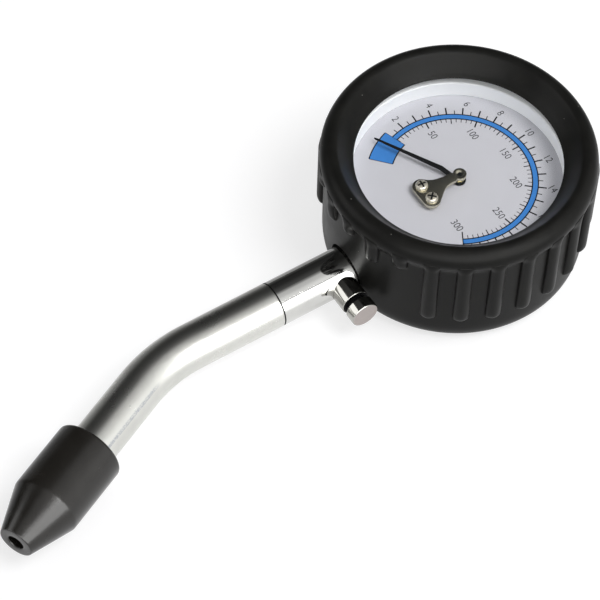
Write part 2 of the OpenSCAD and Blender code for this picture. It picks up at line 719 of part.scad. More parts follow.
module tip_pin() {
    color([0.7, 0.7, 0.68]) translate([tip_at[0], tip_at[1], bourdon_low + 1])
        cylinder(r = link_pin_r, h = pin_top - bourdon_low - 1);
}

// Bourdon tube: a flattened tube bent into a C from the socket round to near 3 o'clock
module flat_tube(t, h) {
    translate([bourdon_r - t / 2, (bourdon_h - h) / 2 + t / 2]) square([t, h - t]);
    for (z = [t / 2, h - t / 2])
        translate([bourdon_r, (bourdon_h - h) / 2 + z]) circle(r = t / 2, $fn = 24);
}
module bourdon_tube() {
    color([0.8, 0.62, 0.32]) translate([0, 0, bourdon_low]) rotate([0, 0, bourdon_end])
        rotate_extrude(angle = bourdon_start - bourdon_end) difference() {
            flat_tube(bourdon_t, bourdon_h);
            flat_tube(bourdon_t - 2 * bourdon_wall, bourdon_h - 2 * bourdon_wall);
        }
}
module gauge_socket() {
    slot_t = bourdon_t + 2 * skin;
    color([0.78, 0.66, 0.34]) difference() {
        union() {
            translate([-socket_w / 2, -socket_front, socket_low])
                cube([socket_w, socket_front - socket_back, socket_top - socket_low]);
            along_stem(socket_front - 0.5) cylinder(r = stub_r, h = stub_end - socket_front + 0.5);
        }
        along_stem(bourdon_r - 1) cylinder(r = stub_bore_r, h = stub_end - bourdon_r + 1 + cut);
        translate([0, 0, bourdon_low - skin]) rotate([0, 0, bourdon_start - 12])
            rotate_extrude(angle = 12.2)
            translate([bourdon_r - slot_t / 2, 0]) square([slot_t, bourdon_h + cut + socket_top]);
        for (p = socket_screws_at) translate([p[0], p[1], socket_low - cut])
            cylinder(r = socket_screw_r + thread_gap, h = 5 + cut);
        for (p = plate_screws_at) translate([p[0], p[1], socket_top - 3.2])
            cylinder(r = screw_r + thread_gap, h = 3.2 + cut);
    }
}
module socket_screws() {
    color([0.75, 0.74, 0.7]) for (p = socket_screws_at) translate([p[0], p[1], case_back]) {
        cylinder(r = socket_screw_r, h = 5);
        cylinder(r = 2 * socket_screw_r - skin, h = 0.75 * case_wall - skin);
    }
}

// Connector between gauge and tube, with the release valve's chamber
module stub_washer() {
    color([0.72, 0.42, 0.25]) along_stem(case_r + skin)
        ring(stem_r - 0.5, stub_r + skin, connector_start - case_r - 2 * skin);
}
module connector_body() {
    groove = 0.15;
    spigot_r = tube_in_r - skin;
    color([0.85, 0.85, 0.86]) difference() {
        union() {
            along_stem(connector_start) cylinder(r = stem_r, h = seam_at - groove - connector_start);
            along_stem(seam_at - groove - 0.01) cylinder(r1 = stem_r, r2 = stem_r - groove, h = groove);
            along_stem(seam_at - 1) cylinder(r = spigot_r, h = spigot_l + 1);
        }
        along_stem(connector_start - cut)
            cylinder(r = stub_r + thread_gap, h = stub_end - connector_start + 0.2 + cut);
        along_stem(stub_end - cut) cylinder(r = passage_r, h = seam_at + spigot_l - stub_end + 2 * cut);
        along_button(chamber_x) cylinder(r = valve_chamber_r, h = seat_x - chamber_x + 0.5);
        along_button(seat_x - skin) cylinder(r = collar_spigot_r + thread_gap, h = stem_r);
        along_button(spot_face_x) cylinder(r = button_r + skin, h = stem_r);
        along_stem(seam_at + spigot_l - 3) ring(spigot_r + cut, spigot_r - 0.8, 1.4);
    }
}
module spigot_ring() {
    color([0.1, 0.1, 0.1]) along_stem(seam_at + spigot_l - 3 + 0.7) rotate_extrude()
        translate([tube_in_r - 0.4 - skin, 0]) circle(r = 0.35, $fn = 24);
}
module valve_collar() {
    color([0.8, 0.8, 0.8]) difference() {
        union() {
            along_button(seat_x) cylinder(r = collar_spigot_r, h = spot_face_x - seat_x + 0.5);
            along_button(spot_face_x + skin) cylinder(r = button_r, h = collar_end - spot_face_x - skin);
        }
        along_button(spring_seat_x) cylinder(r = collar_bore_r, h = collar_end - spring_seat_x + cut);
        along_button(seat_x - cut)
            cylinder(r = plunger_r + 2 * running, h = spring_seat_x - seat_x + 2 * cut);
    }
}
module button_head_cap() {
    edge = 0.4;
    color([0.8, 0.8, 0.8]) difference() {
        union() {
            along_button(cap_x) cylinder(r = button_r, h = button_head - edge);
            along_button(cap_end - edge) cylinder(r1 = button_r, r2 = button_r - edge, h = edge);
            along_button(cap_boss_x) cylinder(r = cap_boss_r, h = cap_x - cap_boss_x + 0.5);
        }
        along_button(cap_boss_x - cut)
            cylinder(r = plunger_r + thread_gap, h = plunger_end - cap_boss_x + cut + 0.1);
    }
}
module release_plunger() {
    color([0.8, 0.7, 0.4]) {
        along_button(seal_x - head_t) cylinder(r = plunger_head_r, h = head_t);
        along_button(seal_x - 0.2) cylinder(r = plunger_r, h = plunger_end - seal_x + 0.2);
    }
}
module release_seal() {
    color([0.1, 0.1, 0.1]) along_button(seal_x + skin / 2)
        ring(plunger_head_r, plunger_r + skin / 2, seal_t);
}
module release_spring() {
    turns = 3;
    room = cap_boss_x - spring_seat_x - 2 * skin;
    color([0.7, 0.7, 0.7]) along_button(spring_seat_x + skin)
        coil(collar_bore_r - 3 * release_wire_r, release_wire_r, room, turns);
}

// Bent tube, its wall drawn a little thinner in the bend
module bent_tube() {
    drawn = 0.004;
    lap = 0.2;
    color([0.8, 0.8, 0.8]) {
        along_stem(seam_at) ring(stem_r, tube_in_r, bend_at - bend_reach - seam_at + lap);
        translate([bend_r, -bend_at + bend_reach, stem_z]) rotate([0, 0, 180])
            rotate_extrude(angle = bend_angle)
            translate([bend_r, 0]) difference() {
                circle(r = stem_r - drawn);
                circle(r = tube_in_r + drawn);
            }
        past_bend(bend_reach - lap) ring(stem_r, tube_in_r, tube_end - bend_reach + lap);
    }
}

// Rubber cone and the check valve inside it
module cone_section() {
    edge = 1;
    tip_edge = 0.4;
    bore_r = stem_r + skin;
    polygon(concat(
        [[bore_r + 0.5, 0]],
        arc([cone_r - edge, edge], edge, -90, 0, 5),
        arc([cone_r - 3, cone_l - cone_taper_l - 1.2], 3, 0, 22, 5),
        arc([cone_tip_r - tip_edge, cone_l - tip_edge], tip_edge, 22, 90, 5),
        [[tip_bore_r, cone_l], [tip_bore_r, nose_end + 0.2 - cone_at],
            [nose_r + skin, nose_end + 0.2 - cone_at], [nose_r + skin, nose_at - cone_at + skin],
            [bore_r, nose_at - cone_at + skin], [bore_r, 0.5]]));
}
module rubber_cone() {
    color([0.07, 0.07, 0.07]) past_bend(cone_at) rotate_extrude() cone_section();
}
module valve_body() {
    color([0.8, 0.68, 0.36]) difference() {
        union() {
            past_bend(tube_end - insert_l) cylinder(r = tube_in_r - skin, h = insert_l + skin + 0.5);
            past_bend(tube_end + skin) cylinder(r = stem_r - 0.2, h = flange_h);
            past_bend(nose_at - 0.5) cylinder(r = nose_r, h = nose_l + 0.5);
        }
        past_bend(tube_end - insert_l - cut)
            cylinder(r = chamber_r, h = valve_seat - tube_end + insert_l + cut);
        past_bend(valve_seat - cut) cylinder(r = tip_bore_r / 2, h = nose_end - valve_seat + 2 * cut);
    }
}
module valve_retainer() {
    color([0.8, 0.68, 0.36]) past_bend(retainer_z) difference() {
        cylinder(r = chamber_r - skin / 2, h = retainer_t);
        translate([0, 0, -cut]) cylinder(r = poppet_stem_r + running, h = retainer_t + 2 * cut);
        for (a = [0:120:240]) rotate(a) translate([1.55, 0, -cut])
            cylinder(r = 0.5, h = retainer_t + 2 * cut);
    }
}
module valve_poppet() {
    color([0.8, 0.7, 0.4]) {
        past_bend(poppet_head_z) cylinder(r = poppet_head_r, h = poppet_head_t);
        past_bend(poppet_stem_z) cylinder(r = poppet_stem_r, h = poppet_head_z - poppet_stem_z + 0.2);
    }
}
module poppet_seal() {
    color([0.1, 0.1, 0.1]) past_bend(poppet_head_z + poppet_head_t + skin / 2)
        cylinder(r = poppet_head_r - 0.1, h = poppet_seal_t);
}
module valve_spring() {
    turns = 5;
    room = poppet_head_z - retainer_z - retainer_t - 2 * skin;
    color([0.7, 0.7, 0.7]) past_bend(retainer_z + retainer_t + skin)
        coil(poppet_head_r - 2.5 * check_wire_r, check_wire_r, room, turns);
}

rubber_boot();
gauge_case();
bezel_ring();
lens_gasket();
lens();
inner_ring();
dial_plate();
front_bridge();
bridge_screws();
pointer();
pointer_hub();
pointer_arbour();
hairspring();
hairspring_stud();
front_plate();
back_plate();
plate_pillars();
plate_screws();
sector_gear();
sector_arbour();
tail_pin();
link();
tip_block();
tip_pin();
bourdon_tube();
gauge_socket();
socket_screws();
stub_washer();
connector_body();
spigot_ring();
valve_collar();
button_head_cap();
release_plunger();
release_seal();
release_spring();
bent_tube();
rubber_cone();
valve_body();
valve_retainer();
valve_poppet();
poppet_seal();
valve_spring();
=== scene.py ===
"""Looks of a push-on compression tester: a dial gauge in a ribbed rubber boot, a chrome connector
with a release button, a bent satin tube and a rubber cone."""

import math
from functools import reduce

import bpy
from bpy.props import FloatProperty, FloatVectorProperty, IntProperty, PointerProperty
from mathutils import Matrix, Vector


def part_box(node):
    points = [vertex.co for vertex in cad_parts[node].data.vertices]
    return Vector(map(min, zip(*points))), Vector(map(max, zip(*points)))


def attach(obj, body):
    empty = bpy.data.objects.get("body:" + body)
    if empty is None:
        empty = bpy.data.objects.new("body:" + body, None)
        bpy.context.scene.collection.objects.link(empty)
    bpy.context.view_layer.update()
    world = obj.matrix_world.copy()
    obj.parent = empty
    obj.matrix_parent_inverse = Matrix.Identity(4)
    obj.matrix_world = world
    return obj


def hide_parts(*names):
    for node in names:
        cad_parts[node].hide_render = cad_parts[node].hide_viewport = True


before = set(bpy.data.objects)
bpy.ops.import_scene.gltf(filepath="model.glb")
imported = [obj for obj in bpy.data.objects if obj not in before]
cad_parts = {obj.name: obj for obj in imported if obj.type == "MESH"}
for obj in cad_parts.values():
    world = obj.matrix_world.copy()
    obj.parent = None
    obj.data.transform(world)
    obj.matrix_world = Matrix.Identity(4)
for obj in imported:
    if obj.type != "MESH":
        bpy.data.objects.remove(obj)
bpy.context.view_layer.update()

bl_info = {
    "name": "Compression Tester",
    "version": (1, 0, 0),
    "blender": (4, 5, 0),
    "location": "3D View > Sidebar > Tester",
    "description": "Dial compression tester with a rubber boot, a chrome stem and a rubber cone",
    "category": "Add Mesh",
}

# ---- Sizes, in millimetres, read from the frame ----


def low(node):
    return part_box(node)[0] * 1000


def high(node):
    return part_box(node)[1] * 1000


def span(node, axis):
    """The middle of a node along one axis, and half its width there."""
    start, end = getattr(low(node), axis), getattr(high(node), axis)
    return (start + end) / 2, (end - start) / 2


CLEAR = 0.05  # between pieces that lie against each other
DIAL_Z = high("dial_plate").z
DIAL_R = high("dial_plate").x
CASE_R = high("gauge_case").x
RIM_Z = high("bezel_ring").z + CLEAR
BOOT_TOP = high("rubber_boot").z
BOOT_BACK_Z = low("gauge_case").z - CLEAR
LENS_LOW, LENS_TOP, LENS_R = low("lens").z, high("lens").z, high("lens").x
RING_TOP, RING_R = high("inner_ring").z, high("inner_ring").x
ARBOUR_X = span("pointer_arbour", "x")[0]
BRIDGE_TOP = high("front_bridge").z
SCREWS_Y, SCREW_R = span("bridge_screws", "y")
SCREWS_APART = span("bridge_screws", "x")[1] - SCREW_R  # from the dial's middle line to each
SCREWS_LOW, SCREWS_TOP = low("bridge_screws").z, high("bridge_screws").z
STEM_Z, STEM_R = span("connector_body", "z")
CONNECTOR_START = -high("connector_body").y
SPIGOT_END = -low("connector_body").y
SEAM = -high("bent_tube").y
BUTTON_Y, BUTTON_R = span("button_head_cap", "y")
BOSS_X, CAP_END = low("button_head_cap").x, high("button_head_cap").x
COLLAR_SEAT, COLLAR_END = low("valve_collar").x, high("valve_collar").x


def measure(name, description, default):
    """A length, its default given in millimetres."""
    return FloatProperty(name=name, description=description, default=default / 1000, unit="LENGTH")


class TesterSizes(bpy.types.PropertyGroup):
    """Sizes of the pieces."""

    side_radius: measure("Boot side", "Radius of the boot between its ribs", 37)
    window_radius: measure("Window", "Radius of the opening in the boot's front lip", 29)
    rib_places: IntProperty(name="Rib places", description="Places for ribs round the boot", default=26)
    rib_crest: measure("Rib crest", "Radius over the ribs' crests", 38.78)
    rib_low: measure("Rib foot", "Height of the long ribs' lower ends", 11)
    band_inside: measure("Band inside", "Inner radius of the dial's blue band", 20.95)
    band_outside: measure("Band outside", "Outer radius of the dial's blue band", 22.79)
    tick_length: measure("Long marks", "Length of the dial's long marks", 2.28)
    figure_height: measure("Figures", "Type size of the dial's numbers", 3.1)
    tube_wall: measure("Tube wall", "Wall of the bent tube", 1)
    bend_radius: measure("Bend", "Radius of the tube's bend along its middle", 45)
    bend_angle: FloatProperty(
        name="Bend angle", description="How far the tube is bent", default=math.radians(25),
        unit="ROTATION",
    )
    bend_corner: measure("Bend corner", "Distance of the bend's corner from the dial's axis", 96.6)
    tube_past_bend: measure("Tube end", "Length of the tube past the bend's corner", 46.2)
    cone_radius: measure("Cone", "Radius of the cone's straight part", 9.75)
    cone_start: measure("Cone start", "Distance of the cone's rim from the bend's corner", 32.8)
    cone_length: measure("Cone length", "Length of the rubber cone", 34)


def colour(name, description, red, green, blue):
    """A colour property given as a photo shows it, in steps of 0 to 255."""
    shares = [level / 255 for level in (red, green, blue)]
    linear = [((c + 0.055) / 1.055) ** 2.4 if c > 0.04045 else c / 12.92 for c in shares]
    return FloatVectorProperty(
        name=name, description=description, default=linear, size=3, subtype="COLOR", min=0, max=1
    )


class TesterColours(bpy.types.PropertyGroup):
    """Colours of the finishes."""

    boot: colour("Boot rubber", "Rubber of the boot", 22, 22, 21)
    cone: colour("Cone rubber", "Rubber of the cone", 28, 26, 23)
    bloom: colour("Bloom", "Pale bloom on the rubber", 52, 51, 47)
    dial: colour("Dial", "Satin paint of the dial", 202, 202, 208)
    ring: colour("Inner wall", "White ring round the dial", 250, 252, 253)
    band: colour("Band", "Blue band of the dial", 61, 130, 205)
    ink: colour("Ink", "Black print of the dial", 18, 18, 22)
    pointer: colour("Pointer", "Paint of the pointer", 9, 9, 10)
    chrome: colour("Chrome", "Plating of the connector", 208, 208, 205)
    # Painted shade: a darker copy of the chrome, for the collar and the button.
    dark_chrome: colour("Dark chrome", "Plating of the collar and the button", 172, 171, 166)
    satin: colour("Satin tube", "Brushed plating of the bent tube", 214, 214, 209)
    button_face: colour("Button face", "Turned face of the button", 176, 168, 165)
    bridge: colour("Bridge", "Polished plating of the bridge", 205, 200, 180)
    screw: colour("Screws", "Nickel of the bridge's screws", 214, 208, 192)
    pale_brass: colour("Pale brass", "Brass of the pointer's hub", 232, 224, 186)
    brass: colour("Brass", "Plates, pillars and sector", 212, 178, 106)
    bronze: colour("Bronze", "Bourdon tube and hairspring", 186, 128, 78)
    blued: colour("Blued steel", "Pointer's arbour", 58, 58, 66)
    steel: colour("Steel", "Arbours, pins, screws and springs of the works", 196, 194, 188)
    floor: colour("Floor", "Pale floor", 162, 162, 163)


def millimetres(context):
    """The sizes as plain numbers in millimetres, angles left in radians."""
    sizes = context.scene.tester_sizes
    found = {}
    for name, prop in sizes.bl_rna.properties.items():
        if prop.type in {"FLOAT", "INT"}:
            value = getattr(sizes, name)
            found[name] = value * 1000 if prop.unit == "LENGTH" else value
    return type("Sizes", (), found)


# ---- Workshop: the moves that shape every piece ----

MERGE = 0.002  # points nearer than this are one


def select_everything():
    bpy.ops.mesh.select_all(action="SELECT")


def leave_edit():
    bpy.ops.object.mode_set(mode="OBJECT")


def extrude(way):
    """Draws what is selected out by a vector."""
    bpy.ops.mesh.extrude_region_move(TRANSFORM_OT_translate={"value": way})


def deselect():
    if bpy.context.mode != "OBJECT":
        leave_edit()
    bpy.ops.object.select_all(action="DESELECT")


def only(obj):
    deselect()
    obj.select_set(True)
    bpy.context.view_layer.objects.active = obj


def edit(kind="VERT"):
    bpy.ops.object.mode_set(mode="EDIT")
    bpy.ops.mesh.select_mode(type=kind)


def named(obj, name):
    obj.name = obj.data.name = name
    return obj


def pick_faces(obj, wanted):
    """Leaves obj in edit mode with only those faces selected that wanted says yes to."""
    only(obj)
    edit("FACE")
    bpy.ops.mesh.select_all(action="DESELECT")
    leave_edit()
    for face in obj.data.polygons:
        face.select = bool(wanted(face))
    bpy.ops.object.mode_set(mode="EDIT")


def choose_finish(obj, chosen):
    """Gives each face the number of its finish, as chosen says."""
    for face in obj.data.polygons:
        face.material_index = int(chosen(face))


def clean_normals():
    """Merges what meets and turns every face outwards. Called in edit mode."""
    select_everything()
    bpy.ops.mesh.remove_doubles(threshold=MERGE)
    bpy.ops.mesh.normals_make_consistent(inside=False)
    leave_edit()


def draw_line(name, points):
    """A chain of edges, drawn from one point to the next. It is left in edit mode, all selected."""
    deselect()
    bpy.ops.mesh.primitive_plane_add(size=1)
    obj = named(bpy.context.object, name)
    edit()
    select_everything()
    bpy.ops.mesh.merge(type="CENTER")
    points = [Vector(p) for p in points]
    bpy.ops.transform.translate(value=points[0])
    for start, end in zip(points, points[1:]):
        extrude(end - start)
    select_everything()
    return obj


def turn(name, profile, steps):
    """Turns a profile of (radius, height) points round +Z, as on a lathe.

    A profile that starts away from the axis is closed.
    """
    closing = profile[:1] if profile[0][0] > 0 else []
    obj = draw_line(name, [(r, 0, z) for r, z in profile + closing])
    bpy.ops.mesh.spin(steps=steps, angle=-math.tau, center=(0, 0, 0), axis=(0, 0, 1))
    clean_normals()
    return obj


def plate(name, outline, bottom, top):
    """A flat plate with the given outline of (x, y) points, filled and raised from bottom to top."""
    obj = draw_line(name, [(x, y, bottom) for x, y in (*outline, outline[0])])
    bpy.ops.mesh.remove_doubles(threshold=MERGE)
    bpy.ops.mesh.edge_face_add()
    extrude((0, 0, top - bottom))
    clean_normals()
    return obj


def modify(obj, kind, **settings):
    """Puts a modifier on obj and applies it."""
    only(obj)
    step = obj.modifiers.new(kind.lower(), kind)
    for key, value in settings.items():
        setattr(step, key, value)
    bpy.ops.object.modifier_apply(modifier=step.name)


def combine(obj, other, operation):
    """Cuts the other shape out of obj, or adds it, and uses it up."""
    modify(obj, "BOOLEAN", operation=operation, solver="EXACT", object=other)
    bpy.data.objects.remove(other)


def copies(obj, places, name):
    """Copies of obj at each place, each with its own mesh, joined into one piece. obj is used up."""
    made = []
    for place in places:
        twin = obj.copy()
        twin.data = obj.data.copy()
        twin.data.transform(place)
        bpy.context.collection.objects.link(twin)
        made.append(twin)
    bpy.data.objects.remove(obj)
    return joined(made, name)


def joined(objects, name):
    deselect()
    for obj in objects:
        obj.select_set(True)
    bpy.context.view_layer.objects.active = objects[0]
    if len(objects) > 1:
        bpy.ops.object.join()
    return named(bpy.context.object, name)


def give_finishes(obj, names):
    """Fills the mesh's places for materials, in order."""
    materials = obj.data.materials
    while len(materials) < len(names):
        materials.append(None)
    for i, name in enumerate(names):
        materials[i] = FINISHES[name]


def settle(obj, finishes, nodes=(), place=Matrix(), smooth=35, body="housing"):
    """Puts a finished piece of millimetres in the frame's metres, with its finishes and its body."""
    obj.data.transform(Matrix.Scale(0.001, 4) @ place)
    only(obj)
    bpy.ops.object.shade_smooth_by_angle(angle=math.radians(smooth))
    give_finishes(obj, finishes)
    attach(obj, body)
    if nodes:
        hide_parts(*nodes)
    deselect()


def arc(centre, radius, start, end, steps):
    """Points (x, y) on an arc, its angles in degrees."""
    turns = [math.radians(start + (end - start) * i / steps) for i in range(steps + 1)]
    return [(centre[0] + radius * math.cos(a), centre[1] + radius * math.sin(a)) for a in turns]


def along_stem(distance):
    """+Z of the piece along the stem, from that distance to the dial's axis."""
    return Matrix.Translation((0, -distance, STEM_Z)) @ Matrix.Rotation(math.pi / 2, 4, "X")


def along_button(x):
    """+Z of the piece along the button."""
    return Matrix.Translation((x, BUTTON_Y, STEM_Z)) @ Matrix.Rotation(math.pi / 2, 4, "Y")


def past_bend(s, distance):
    """+Z of the piece along the tube past its bend, from that distance to the bend's corner."""
    corner = Matrix.Translation((0, -s.bend_corner, STEM_Z)) @ Matrix.Rotation(s.bend_angle, 4, "Z")
    return corner @ Matrix.Translation((0, -distance, 0)) @ Matrix.Rotation(math.pi / 2, 4, "X")


# ---- Finishes ----

FINISHES = {}  # each material by its name
GROUPS = {}  # each node group by the function that draws it
KINDS = {1: "NodeSocketFloat", 3: "NodeSocketVector", 4: "NodeSocketColor"}
ANYWHERE = (0.0, 0.0, 0.0)
PALE_DUST = (0.32, 0.31, 0.28, 1)
STREAK_GREY = (0.31, 0.33, 0.37, 1)
WHITE = (1, 1, 1, 1)


def feed(tree, target, links):
    """Gives each input its value, or links it to another node's output."""
    for key, source in links.items():
        if isinstance(source, bpy.types.NodeSocket):
            tree.links.new(source, target.inputs[key])
        else:
            target.inputs[key].default_value = source


def node(tree, kind, links=None, **settings):
    """A node with its settings; links gives what each input reads: a socket or a value."""
    made = tree.nodes.new(kind)
    for key, value in settings.items():
        setattr(made, key, value)
    feed(tree, made, links or {})
    return made


def group(name, inputs, outputs):
    """An empty node group. An input is a number, a vector or a colour, as its default is."""
    tree = bpy.data.node_groups.new(name, "ShaderNodeTree")
    for label, default in inputs.items():
        kind = KINDS[len(default) if isinstance(default, tuple) else 1]
        made = tree.interface.new_socket(name=label, in_out="INPUT", socket_type=kind)
        made.default_value = default
    for label in outputs:
        kind = KINDS[4 if label == "Color" else 1]
        tree.interface.new_socket(name=label, in_out="OUTPUT", socket_type=kind)
    return tree, tree.nodes.new("NodeGroupInput").outputs, tree.nodes.new("NodeGroupOutput")


def use_group(tree, maker, links):
    """The outputs of a node group, which its maker draws at the first use."""
    if maker not in GROUPS:
        GROUPS[maker] = maker()
    return node(tree, "ShaderNodeGroup", links, node_tree=GROUPS[maker]).outputs


def ramp(tree, source, *stops):
    """A colour ramp of grey stops (position, value)."""
    made = node(tree, "ShaderNodeValToRGB", {"Fac": source})
    elements = made.color_ramp.elements
    while len(elements) < len(stops):
        elements.new(0.5)
    for element, (position, value) in zip(elements, stops):
        element.position = position
        element.color = (value, value, value, 1)
    return made.outputs["Color"]


def mix_colour(tree, factor, first, second, blend="MIX"):
    links = {0: factor, 6: first, 7: second}
    return node(tree, "ShaderNodeMix", links, data_type="RGBA", blend_type=blend).outputs[2]


def maths(tree, operation, first, second):
    return node(tree, "ShaderNodeMath", {0: first, 1: second}, operation=operation).outputs[0]


def times(tree, *factors):
    return reduce(lambda product, factor: maths(tree, "MULTIPLY", product, factor), factors)


def plus(tree, *terms):
    return reduce(lambda total, term: maths(tree, "ADD", total, term), terms)


def most(tree, *values):
    return reduce(lambda top, value: maths(tree, "MAXIMUM", top, value), values)


def noise(tree, place, scale, detail=3.0, rough=0.55):
    links = {"Vector": place, "Scale": scale, "Detail": detail, "Roughness": rough}
    return node(tree, "ShaderNodeTexNoise", links).outputs["Fac"]


def parts_of(tree, vector):
    """The X, Y and Z of a vector."""
    return node(tree, "ShaderNodeSeparateXYZ", {"Vector": vector}).outputs


def moulded_grain():
    """Fine pebble of moulded rubber or plastic, with broad soft unevenness."""
    inputs = {"Place": ANYWHERE, "Grain size": 2500.0}
    tree, given, end = group("Moulded grain", inputs, ["Height", "Patches"])
    fine = noise(tree, given["Place"], given["Grain size"], 2.0)
    broad = noise(tree, given["Place"], times(tree, given["Grain size"], 0.06), 4.0)
    height = plus(tree, fine, times(tree, broad, 1.5))
    feed(tree, end, {"Height": height, "Patches": ramp(tree, broad, (0.35, 0), (0.75, 1))})
    return tree


def dust_specks():
    """Sparse pale specks, as of dust that rubber and clear plastic hold."""
    inputs = {"Place": ANYWHERE, "Spacing": 260.0, "Speck size": 0.06}
    tree, given, end = group("Dust specks", inputs, ["Mask"])
    links = {"Vector": given["Place"], "Scale": given["Spacing"], "Randomness": 1.0}
    cells = node(tree, "ShaderNodeTexVoronoi", links).outputs
    dot = maths(tree, "LESS_THAN", cells["Distance"], given["Speck size"])
    picked = node(tree, "ShaderNodeSeparateColor", {"Color": cells["Color"]}).outputs["Red"]
    feed(tree, end, {"Mask": times(tree, dot, maths(tree, "GREATER_THAN", picked, 0.8))})
    return tree


def polish_lines():
    """Fine lines left by brushing or turning, drawn out along the last axis of Place."""
    inputs = {"Place": ANYWHERE, "Fineness": 3000.0, "Drawn out": (1.0, 1.0, 0.02)}
    tree, given, end = group("Polish lines", inputs, ["Height", "Rubbed"])
    links = {0: given["Place"], 1: given["Drawn out"]}
    drawn = node(tree, "ShaderNodeVectorMath", links, operation="MULTIPLY").outputs["Vector"]
    lines = noise(tree, drawn, given["Fineness"], 3.0, 0.6)
    wide = noise(tree, drawn, times(tree, given["Fineness"], 0.12), 2.0)
    feed(tree, end, {"Height": lines, "Rubbed": ramp(tree, wide, (0.3, 0), (0.7, 1))})
    return tree


def metal_tone():
    """Slow change of a metal's colour and roughness, as of handling and oxide."""
    inputs = {
        "Place": ANYWHERE, "Clean": (0.8, 0.8, 0.8, 1), "Dull": (0.6, 0.6, 0.6, 1), "Smooth": 0.1,
        "Rough": 0.2, "Patch size": 180.0,
    }
    tree, given, end = group("Metal tone", inputs, ["Color", "Roughness"])
    cloud = noise(tree, given["Place"], given["Patch size"], 5.0, 0.6)
    amount = ramp(tree, cloud, (0.38, 0), (0.72, 1))
    spread = maths(tree, "SUBTRACT", given["Rough"], given["Smooth"])
    feed(tree, end, {
        "Color": mix_colour(tree, amount, given["Clean"], given["Dull"]),
        "Roughness": plus(tree, given["Smooth"], times(tree, amount, spread)),
    })
    return tree


def blank_finish(name):
    """A new material: its tree, its Principled shader and its object coordinates."""
    material = FINISHES[name] = bpy.data.materials.new(name)
    material.use_nodes = True
    tree = material.node_tree
    place = node(tree, "ShaderNodeTexCoord").outputs["Object"]
    return tree, tree.nodes["Principled BSDF"], place


def rgba(value, factor=1.0):
    return (*[min(1.0, c * factor) for c in value], 1)


def bump(tree, shader, height, depth, strength):
    made = node(tree, "ShaderNodeBump", {"Height": height, "Strength": strength, "Distance": depth})
    feed(tree, shader, {"Normal": made.outputs["Normal"]})


def rubber(name, base, bloom, roughness, shine=0.09):
    """Black moulded rubber with fine grain, patches of pale bloom and sparse specks."""
    tree, shader, place = blank_finish(name)
    grain = use_group(tree, moulded_grain, {"Place": place, "Grain size": 2600.0})
    specks = use_group(tree, dust_specks, {"Place": place, "Spacing": 330.0, "Speck size": 0.045})
    bloomed = mix_colour(tree, times(tree, grain["Patches"], 0.14), rgba(base), rgba(bloom))
    feed(tree, shader, {
        "Base Color": mix_colour(tree, times(tree, specks["Mask"], 0.55), bloomed, PALE_DUST),
        "Roughness": plus(tree, roughness, times(tree, grain["Patches"], 0.1)),
        "Specular IOR Level": shine,
    })
    bump(tree, shader, grain["Height"], 0.000012, 0.5)


def metal(name, clean, dull=0.8, smooth=0.08, rough=0.2, fineness=2200.0, drawn=(1, 1, 0.05),
          depth=0.000003, patches=180.0, run=None, metallic=1.0):
    """A metal with polish lines and slow changes of tone. run names an attribute to read as place."""
    tree, shader, place = blank_finish(name)
    if run:
        place = node(tree, "ShaderNodeAttribute", attribute_name=run).outputs["Vector"]
    lines = use_group(tree, polish_lines, {"Place": place, "Fineness": fineness, "Drawn out": drawn})
    tone = use_group(tree, metal_tone, {
        "Place": place, "Clean": rgba(clean), "Dull": rgba(clean, dull), "Smooth": smooth,
        "Rough": rough, "Patch size": patches,
    })
    rubbed = times(tree, lines["Rubbed"], (rough - smooth) * 0.5)
    feed(tree, shader, {
        "Base Color": tone["Color"], "Roughness": plus(tree, tone["Roughness"], rubbed),
        "Metallic": metallic,
    })
    bump(tree, shader, lines["Height"], depth, 0.6)


def scuff(name, run):
    """Adds a speckled grey line along the tube past its bend, at one turn round the tube."""
    tree = FINISHES[name].node_tree
    shader = tree.nodes["Principled BSDF"]
    place = node(tree, "ShaderNodeAttribute", attribute_name=run).outputs["Vector"]
    part = parts_of(tree, place)
    around = maths(tree, "ARCTAN2", part["X"], part["Y"])
    line = ramp(tree, around, (0.82, 0), (0.88, 1), (0.99, 1), (1.05, 0))
    beyond = ramp(tree, times(tree, part["Z"], 5.0), (0.515, 0), (0.535, 1))
    specks = ramp(tree, noise(tree, place, 2400.0, 2.0), (0.4, 0.12), (0.6, 0.8))
    clean = shader.inputs["Base Color"].links[0].from_socket
    mask = times(tree, line, beyond, specks)
    feed(tree, shader, {"Base Color": mix_colour(tree, mask, clean, STREAK_GREY)})


def paint(name, base, roughness=0.4, depth=0.000004, shade=0.94, shine=0.5, painted_glow=0.0):
    """Satin paint or moulded plastic with a fine texture and slightly uneven tone.

    The glow given is painted light: an emission that brightens the surface though it is no lamp.
    """
    tree, shader, place = blank_finish(name)
    texture = use_group(tree, moulded_grain, {"Place": place, "Grain size": 3500.0})
    feed(tree, shader, {
        "Base Color": mix_colour(tree, texture["Patches"], rgba(base), rgba(base, shade)),
        "Roughness": plus(tree, roughness, times(tree, texture["Patches"], 0.06)),
        "Specular IOR Level": shine,
    })
    if painted_glow:
        feed(tree, shader, {"Emission Color": rgba(base), "Emission Strength": painted_glow})
    bump(tree, shader, texture["Height"], depth, 0.4)


def clear_plastic(name):
    """Nearly see-through, a little more solid at a glancing view and where dust lies."""
    tree, shader, place = blank_finish(name)
    specks = use_group(tree, dust_specks, {"Place": place, "Spacing": 420.0, "Speck size": 0.04})
    smear = noise(tree, place, 60.0, 5.0, 0.6)
    facing = node(tree, "ShaderNodeLayerWeight", {"Blend": 0.25}).outputs["Fresnel"]
    body = plus(tree, 0.006, times(tree, facing, 0.05))
    feed(tree, shader, {
        "Alpha": plus(tree, body, times(tree, specks["Mask"], 0.05), times(tree, smear, 0.006)),
        "Roughness": plus(tree, 0.03, times(tree, smear, 0.05)),
        "Base Color": (0.5, 0.54, 0.56, 1), "IOR": 1.49,
    })


